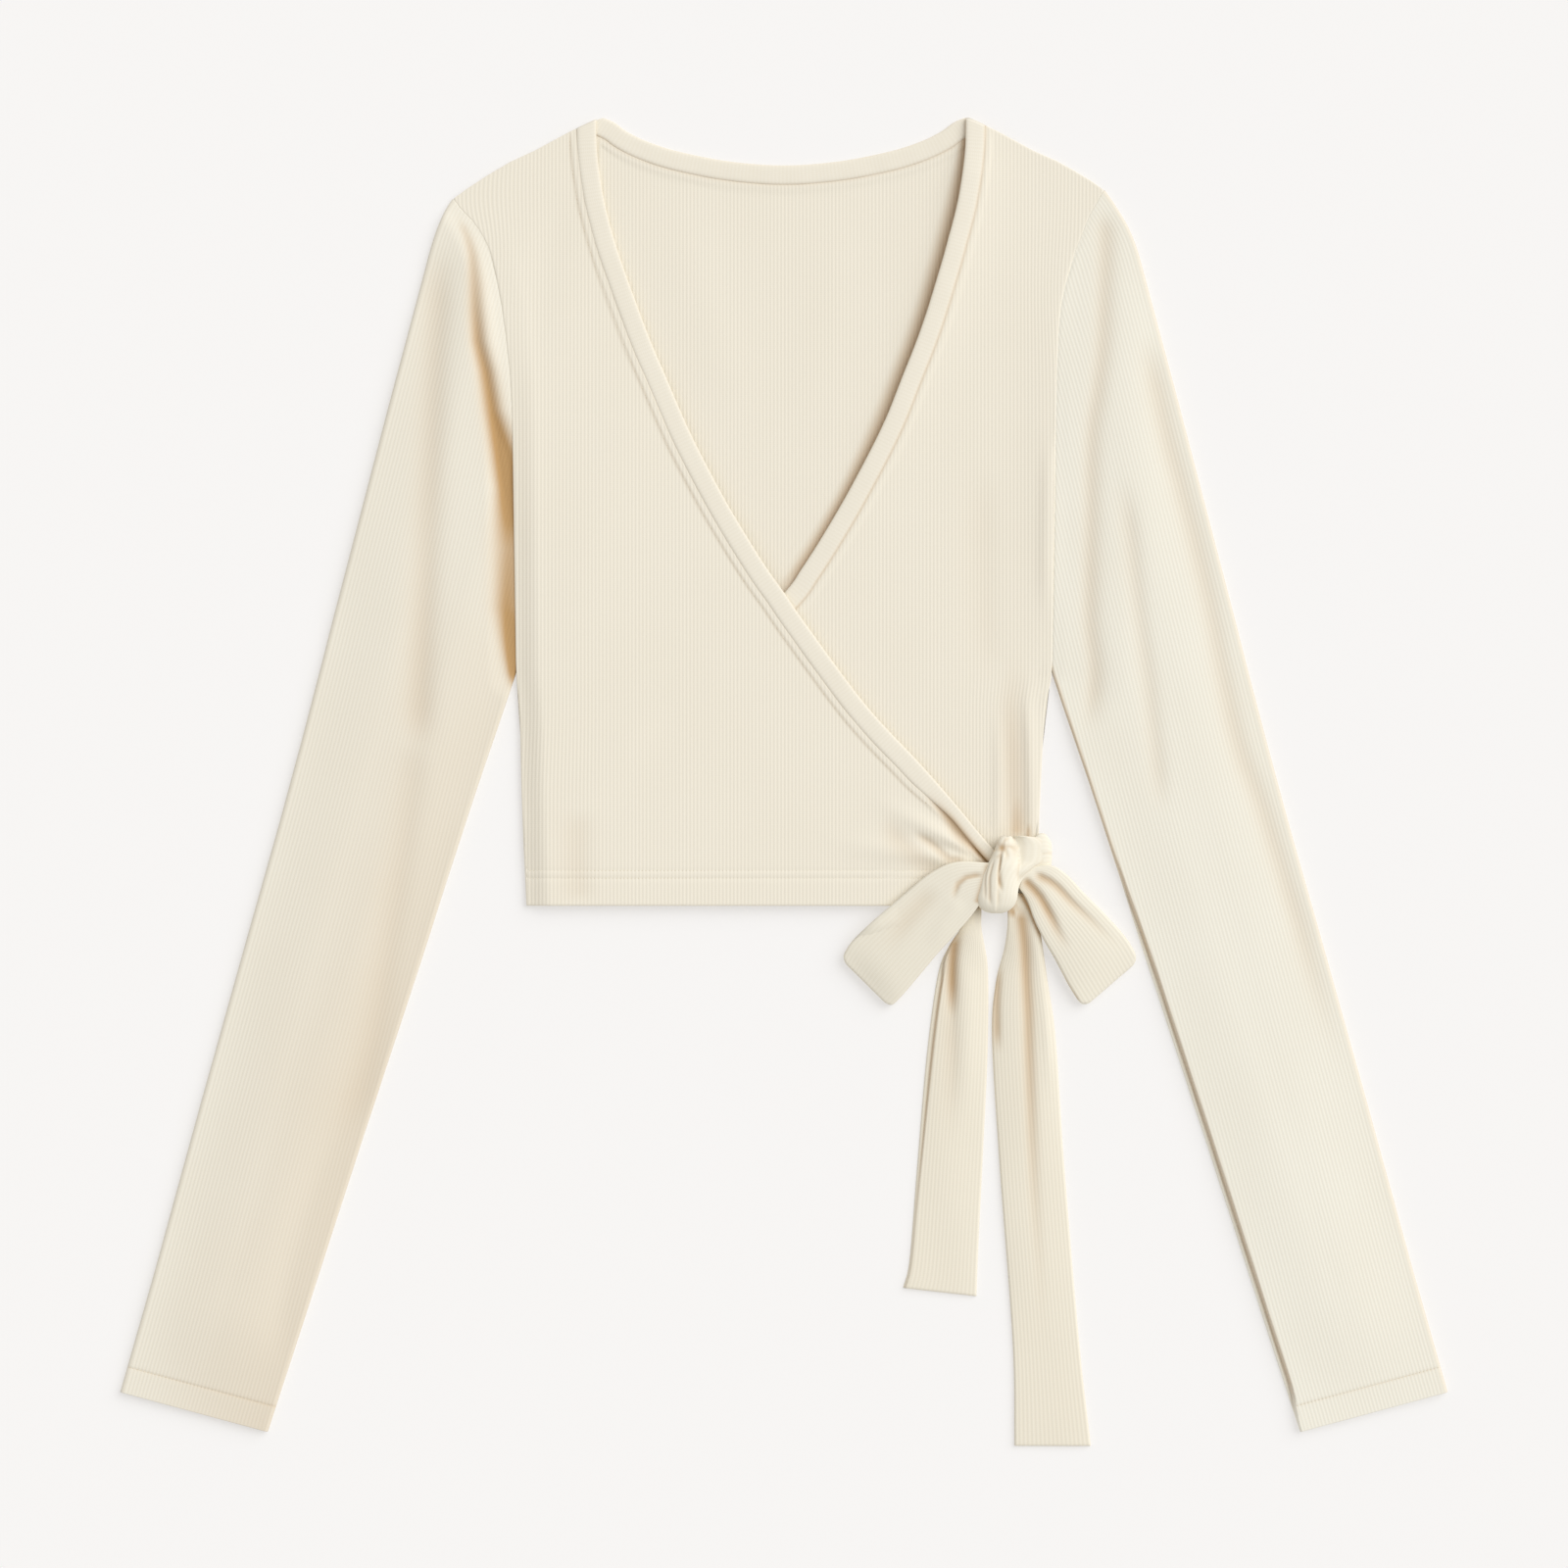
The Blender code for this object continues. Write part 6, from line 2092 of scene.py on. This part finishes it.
@dataclass
class Knot:
    """The two ties wound round each other and drawn tight."""

    shop: Workroom
    sides: int = 132
    stations: int = 64
    floor: float = UNDER_LEVEL + WALL + HEM_EXTRA + GAP
    pleats: tuple[Pleat, ...] = (
        Pleat(186, 112, 0.6, 6, 0.30, 0.86), Pleat(152, 104, 0.8, 6, 0.28, 0.92),
        Pleat(125, 62, 1.5, 5.5, 0.18, 0.74), Pleat(104, 84, 0.4, 5, 0.50, 0.95),
        Pleat(82, 58, 0.5, 6, 0.04, 0.30),
    )
    swirl: PointRow = PointRow(119.4, -35)
    swirl_depth: float = 1.5
    puff: float = 4.2  # how high it swells where the waist strap enters
    slack: float = 0.45  # how far it stands out between the pleats
    wrinkle: float = 0.40  # height of the wrinkles round the swirl
    strap_drop: float = 0.24  # how much lower it lies out towards the strap
    # painted shade in the pleats, in the swirl and on the flanks
    pleat_tone: float = 0.36
    swirl_tone: float = 0.85
    flank_tone: float = 0.1
    valley_tone: float = 0.24  # painted shade between the core and the swelling

    def make(self) -> Item:
        """Make the knot.

        Returns:
            The piece.
        """
        line = spread(KNOT, self.stations)
        middle = self.floor + max(row.half_height for row in KNOT) + 0.5
        turn = np.linspace(0, math.tau, self.sides, endpoint=False)
        y, centre, wide, high, reach = (line[:, k:k + 1] for k in range(5))
        part = (y - y[0]) / (y[-1] - y[0])
        grown = np.minimum(1, wide / 7)
        pleat, tone = self.slack + 0 * turn * part, 0 * turn * part
        for row in self.pleats:
            at = np.radians(row.top_deg + (row.bottom_deg - row.top_deg) * part)
            away = np.angle(np.exp(1j * (turn - at)))
            shape = bell(away / math.radians(row.width_deg))
            shape = shape * ease((part - row.start) / 0.12) * ease((row.end - part) / 0.14)
            pleat = pleat - row.depth * shape
            # Painted shade in the pleat.
            tone = np.maximum(tone, self.pleat_tone * row.depth * shape)
        right = np.cos(turn) > 0
        x = centre + (wide + pleat * grown + reach * right) * np.cos(turn)
        dx, dy = x - self.swirl.x, y - self.swirl.y
        near, spin = np.hypot(dx, dy), np.arctan2(dy, dx)
        wrinkle = self.wrinkle * np.cos(6 * spin + 0.5 * near) * bell((near - 4.6) / 2)
        dimple = self.swirl_depth * bell(near / 2.6) - wrinkle
        over = np.sin(turn) > 0
        top = middle + high + pleat * grown
        side = middle - self.strap_drop * reach * right
        off = np.abs(x - centre)
        core = (top - side) * np.sqrt(clamp01(1 - np.square(off / (1.15 * wide + 1)))) ** 0.8
        out = clamp01((off - 0.45 * wide) / (0.55 * wide + reach + 0.5)) * right
        puff = self.puff * ease(reach / 9) * np.sin(math.pi * out) ** 0.85
        joined = 0.5 * (core + puff + np.sqrt(np.square(core - puff) + 4)) - 1
        hill = np.where(right, joined, (top - side) * np.abs(np.sin(turn)) ** 0.6)
        z = side + np.where(over, hill, (side - self.floor) * np.sin(turn))
        z = z - dimple * over * grown
        # Painted shade in and round the swirl, in its wrinkles, on the flanks and in the valley between the
        # core and the swelling.
        tone = np.maximum(tone, self.swirl_tone * bell(near / 2.2))
        tone = tone + 0.3 * clamp01(-wrinkle / self.wrinkle) * (near < 8)
        flank = self.flank_tone * ease((0.25 - np.sin(turn)) / 0.5) * (1 - right * ease(reach / 3))
        valley = self.valley_tone * bell((core - puff) / 1.8) * (puff > 1) * over
        tone = np.maximum(np.maximum(tone, flank), valley)
        shell = Shell()
        rings = shell.add(np.dstack([x, y + 0 * x, np.maximum(z, self.floor)]), turn * 9 + 0 * x,
                          y + 0 * x, 0, clamp01(tone))
        shell.bar(rings)
        item = self.shop.dress(shell, "bow_knot", Slot.TIE, "knot")
        return item


@dataclass
class WaistStrap:
    """Tie from the side seam, over the edge of the body and into the knot."""

    shop: Workroom
    stations: int = 48
    across: int = 64
    puff: float = 2.6

    def make(self) -> Item:
        """Make the strap.

        Returns:
            The piece.
        """
        line = spread(STRAP, self.stations)
        outward = left_normals(line)
        down = np.linspace(0, 1, self.across)
        ring_down = np.hstack([down, down[::-4]])
        is_top = np.hstack([np.ones(self.across), np.zeros(len(down[::-4]))])
        part = np.linspace(0, 1, self.stations)[:, None]
        edge = rounded(np.minimum(ring_down, 1 - ring_down) * 17, 2.4)
        swell = self.puff * np.sin(math.pi * ring_down) ** 0.7 * ease((1.06 - part) / 0.5)
        creases = -0.22 * bell((ring_down - 0.62 + 0.12 * part) / 0.04) * ease((part - 0.35) / 0.3)
        out = np.where(is_top > 0.5, TIE_THICK / 2 * edge + (swell + creases) * edge, -TIE_THICK / 2 * edge)
        x = line[:, :1] + out * outward[:, :1]
        y = line[:, 2:3] + ring_down * (line[:, 3:4] - line[:, 2:3])
        z = line[:, 1:2] + out * outward[:, 1:2]
        shell = Shell()
        # Painted shade in the creases.
        rings = shell.add(np.dstack([x, y, z]), ring_down * 18 + 0 * x, 20 * part + 0 * x,
                          0, clamp01(-0.7 * creases) * is_top)
        shell.bar(rings)
        item = self.shop.dress(shell, "waist_tie", Slot.TIE, "waist_strap")
        return item


# ---- Studio

@dataclass
class Studio:
    """Floor, light and camera."""

    lens: float = 100
    sensor: float = 36
    frame_width: float = 0.864
    key_turn_deg: float = 35  # the key stands to the right and a little up
    key_height_deg: float = 40
    key_strength: float = 1.9
    key_softness_deg: float = 55
    fill: float = 0.585
    floor_reach: float = 4
    floor_gap: float = 0.0002  # it lies this far below what rests on it

    def build(self) -> None:
        """Make the floor, the light and the camera."""
        mesh = bpy.data.meshes.new("studio_floor")
        corners = ((-1, -1), (1, -1), (1, 1), (-1, 1))
        mesh.from_pydata([(self.floor_reach * x, self.floor_reach * y, 0) for x, y in corners],
                         [], [(0, 1, 2, 3)])
        mesh.materials.append(LightTable().material())
        floor = set_down("studio_floor", mesh)
        floor.location.z = -self.floor_gap
        key = bpy.data.lights.new("key", "SUN")
        key.energy = self.key_strength
        key.angle = math.radians(self.key_softness_deg)
        key.color = (0.985, 0.995, 1)
        lean, turn = math.radians(90 - self.key_height_deg), math.radians(self.key_turn_deg)
        set_down("key", key).rotation_euler = (0, lean, turn)
        world = bpy.data.worlds.new("studio")
        world.use_nodes = True
        sky = world.node_tree.nodes["Background"]
        sky.inputs[0].default_value = (1, 0.985, 0.965, 1)
        sky.inputs[1].default_value = self.fill
        bpy.context.scene.world = world
        camera = bpy.data.cameras.new("overhead")
        camera.lens, camera.sensor_width = self.lens, self.sensor
        camera.clip_end = 20
        eye = set_down("overhead", camera)
        eye.location = (0, -ORIGIN_Y * MM, self.frame_width * self.lens / self.sensor)
        bpy.context.scene.camera = eye
        bpy.context.scene.view_settings.view_transform = "Standard"
        bpy.context.scene.view_settings.look = "None"


def main() -> None:
    """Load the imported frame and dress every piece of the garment."""
    logging.basicConfig(level=logging.INFO, format="%(message)s")
    log = logging.getLogger("wrap_top")
    for item in list(bpy.data.objects):
        bpy.data.objects.remove(item, do_unlink=True)
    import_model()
    Studio().build()
    pattern = Pattern()
    # The sleeves and ties are the body's jersey; their lighter crests are painted light, for the brighter
    # light on them.
    finishes = (RibJersey(Slot.BODY), RibJersey(Slot.INSIDE), RibJersey(Slot.NECKBAND, groove_share=0.24),
                RibJersey(Slot.SLEEVE, crest="F9F7EC", groove_share=0.25),
                RibJersey(Slot.TIE, crest="F6F1E2"))
    jerseys = {finish.slot: finish.material() for finish in finishes}
    shop = Workroom(pattern, Knitting(), jerseys, SewingThread().material())
    over = OverFront(shop, -SHOULDER_TIP, OVER_TIP[-1].x)
    left = Sleeve(shop, Side.LEFT, LEFT_SLEEVE_FOLDS, valley=16, crease=LEFT_CREASE, height=8,
                  veil=0.07, dusk=0.24)
    right = Sleeve(shop, Side.RIGHT, RIGHT_SLEEVE_FOLDS, valley=42, height=6.4, lip=2.3,
                   crown_veil=0.02, rim_tone=0.24, seed=6)
    pieces = [
        BackPanel(shop, -SHOULDER_TIP, SHOULDER_TIP),
        UnderFront(shop, -130, SHOULDER_TIP),
        over,
        Neckband(shop, "neckband_back", pattern.back_edge, pattern.back_across,
                 lambda x, y: np.zeros(x.shape), seam_tone=0.2),
        Neckband(shop, "neckband_under", pattern.under_edge, pattern.under_across,
                 pattern.under_base, seam_tone=0.3, wall_tone=0.6, seed=8),
        Neckband(shop, "neckband_over", pattern.over_edge, pattern.over_across,
                 pattern.over_base, knot_tone=0.55, seed=9),
        left,
        right,
        BowLoop(shop, Side.LEFT, LOOP_LEFT, LEFT_LOOP_FOLDS, 7.5,
                ("over_front_panel",)),
        BowLoop(shop, Side.RIGHT, LOOP_RIGHT, RIGHT_LOOP_FOLDS, 6,
                ("waist_tie",), height=5.2, tucked=2.2, seed=8),
        TieEnd(shop, Side.LEFT, TAIL_LEFT, LEFT_TAIL_FOLDS, 2.6, 0.214, slant=4.6),
        TieEnd(shop, Side.RIGHT, TAIL_RIGHT, RIGHT_TAIL_FOLDS, 0, 0.300, seed=12),
        Knot(shop), WaistStrap(shop),
    ]
    for piece in pieces:
        item = piece.make()
        triangles = sum(len(face.vertices) - 2 for face in item.data.polygons)
        log.info("%s: %d triangles", item.name, triangles)
    shop.sew("body_stitches", over.stitch_lines(), Slot.BODY)
    shop.sew("cuff_stitches", [left.cuff_line(), right.cuff_line()], Slot.SLEEVE)


if __name__ == "__main__":
    main()
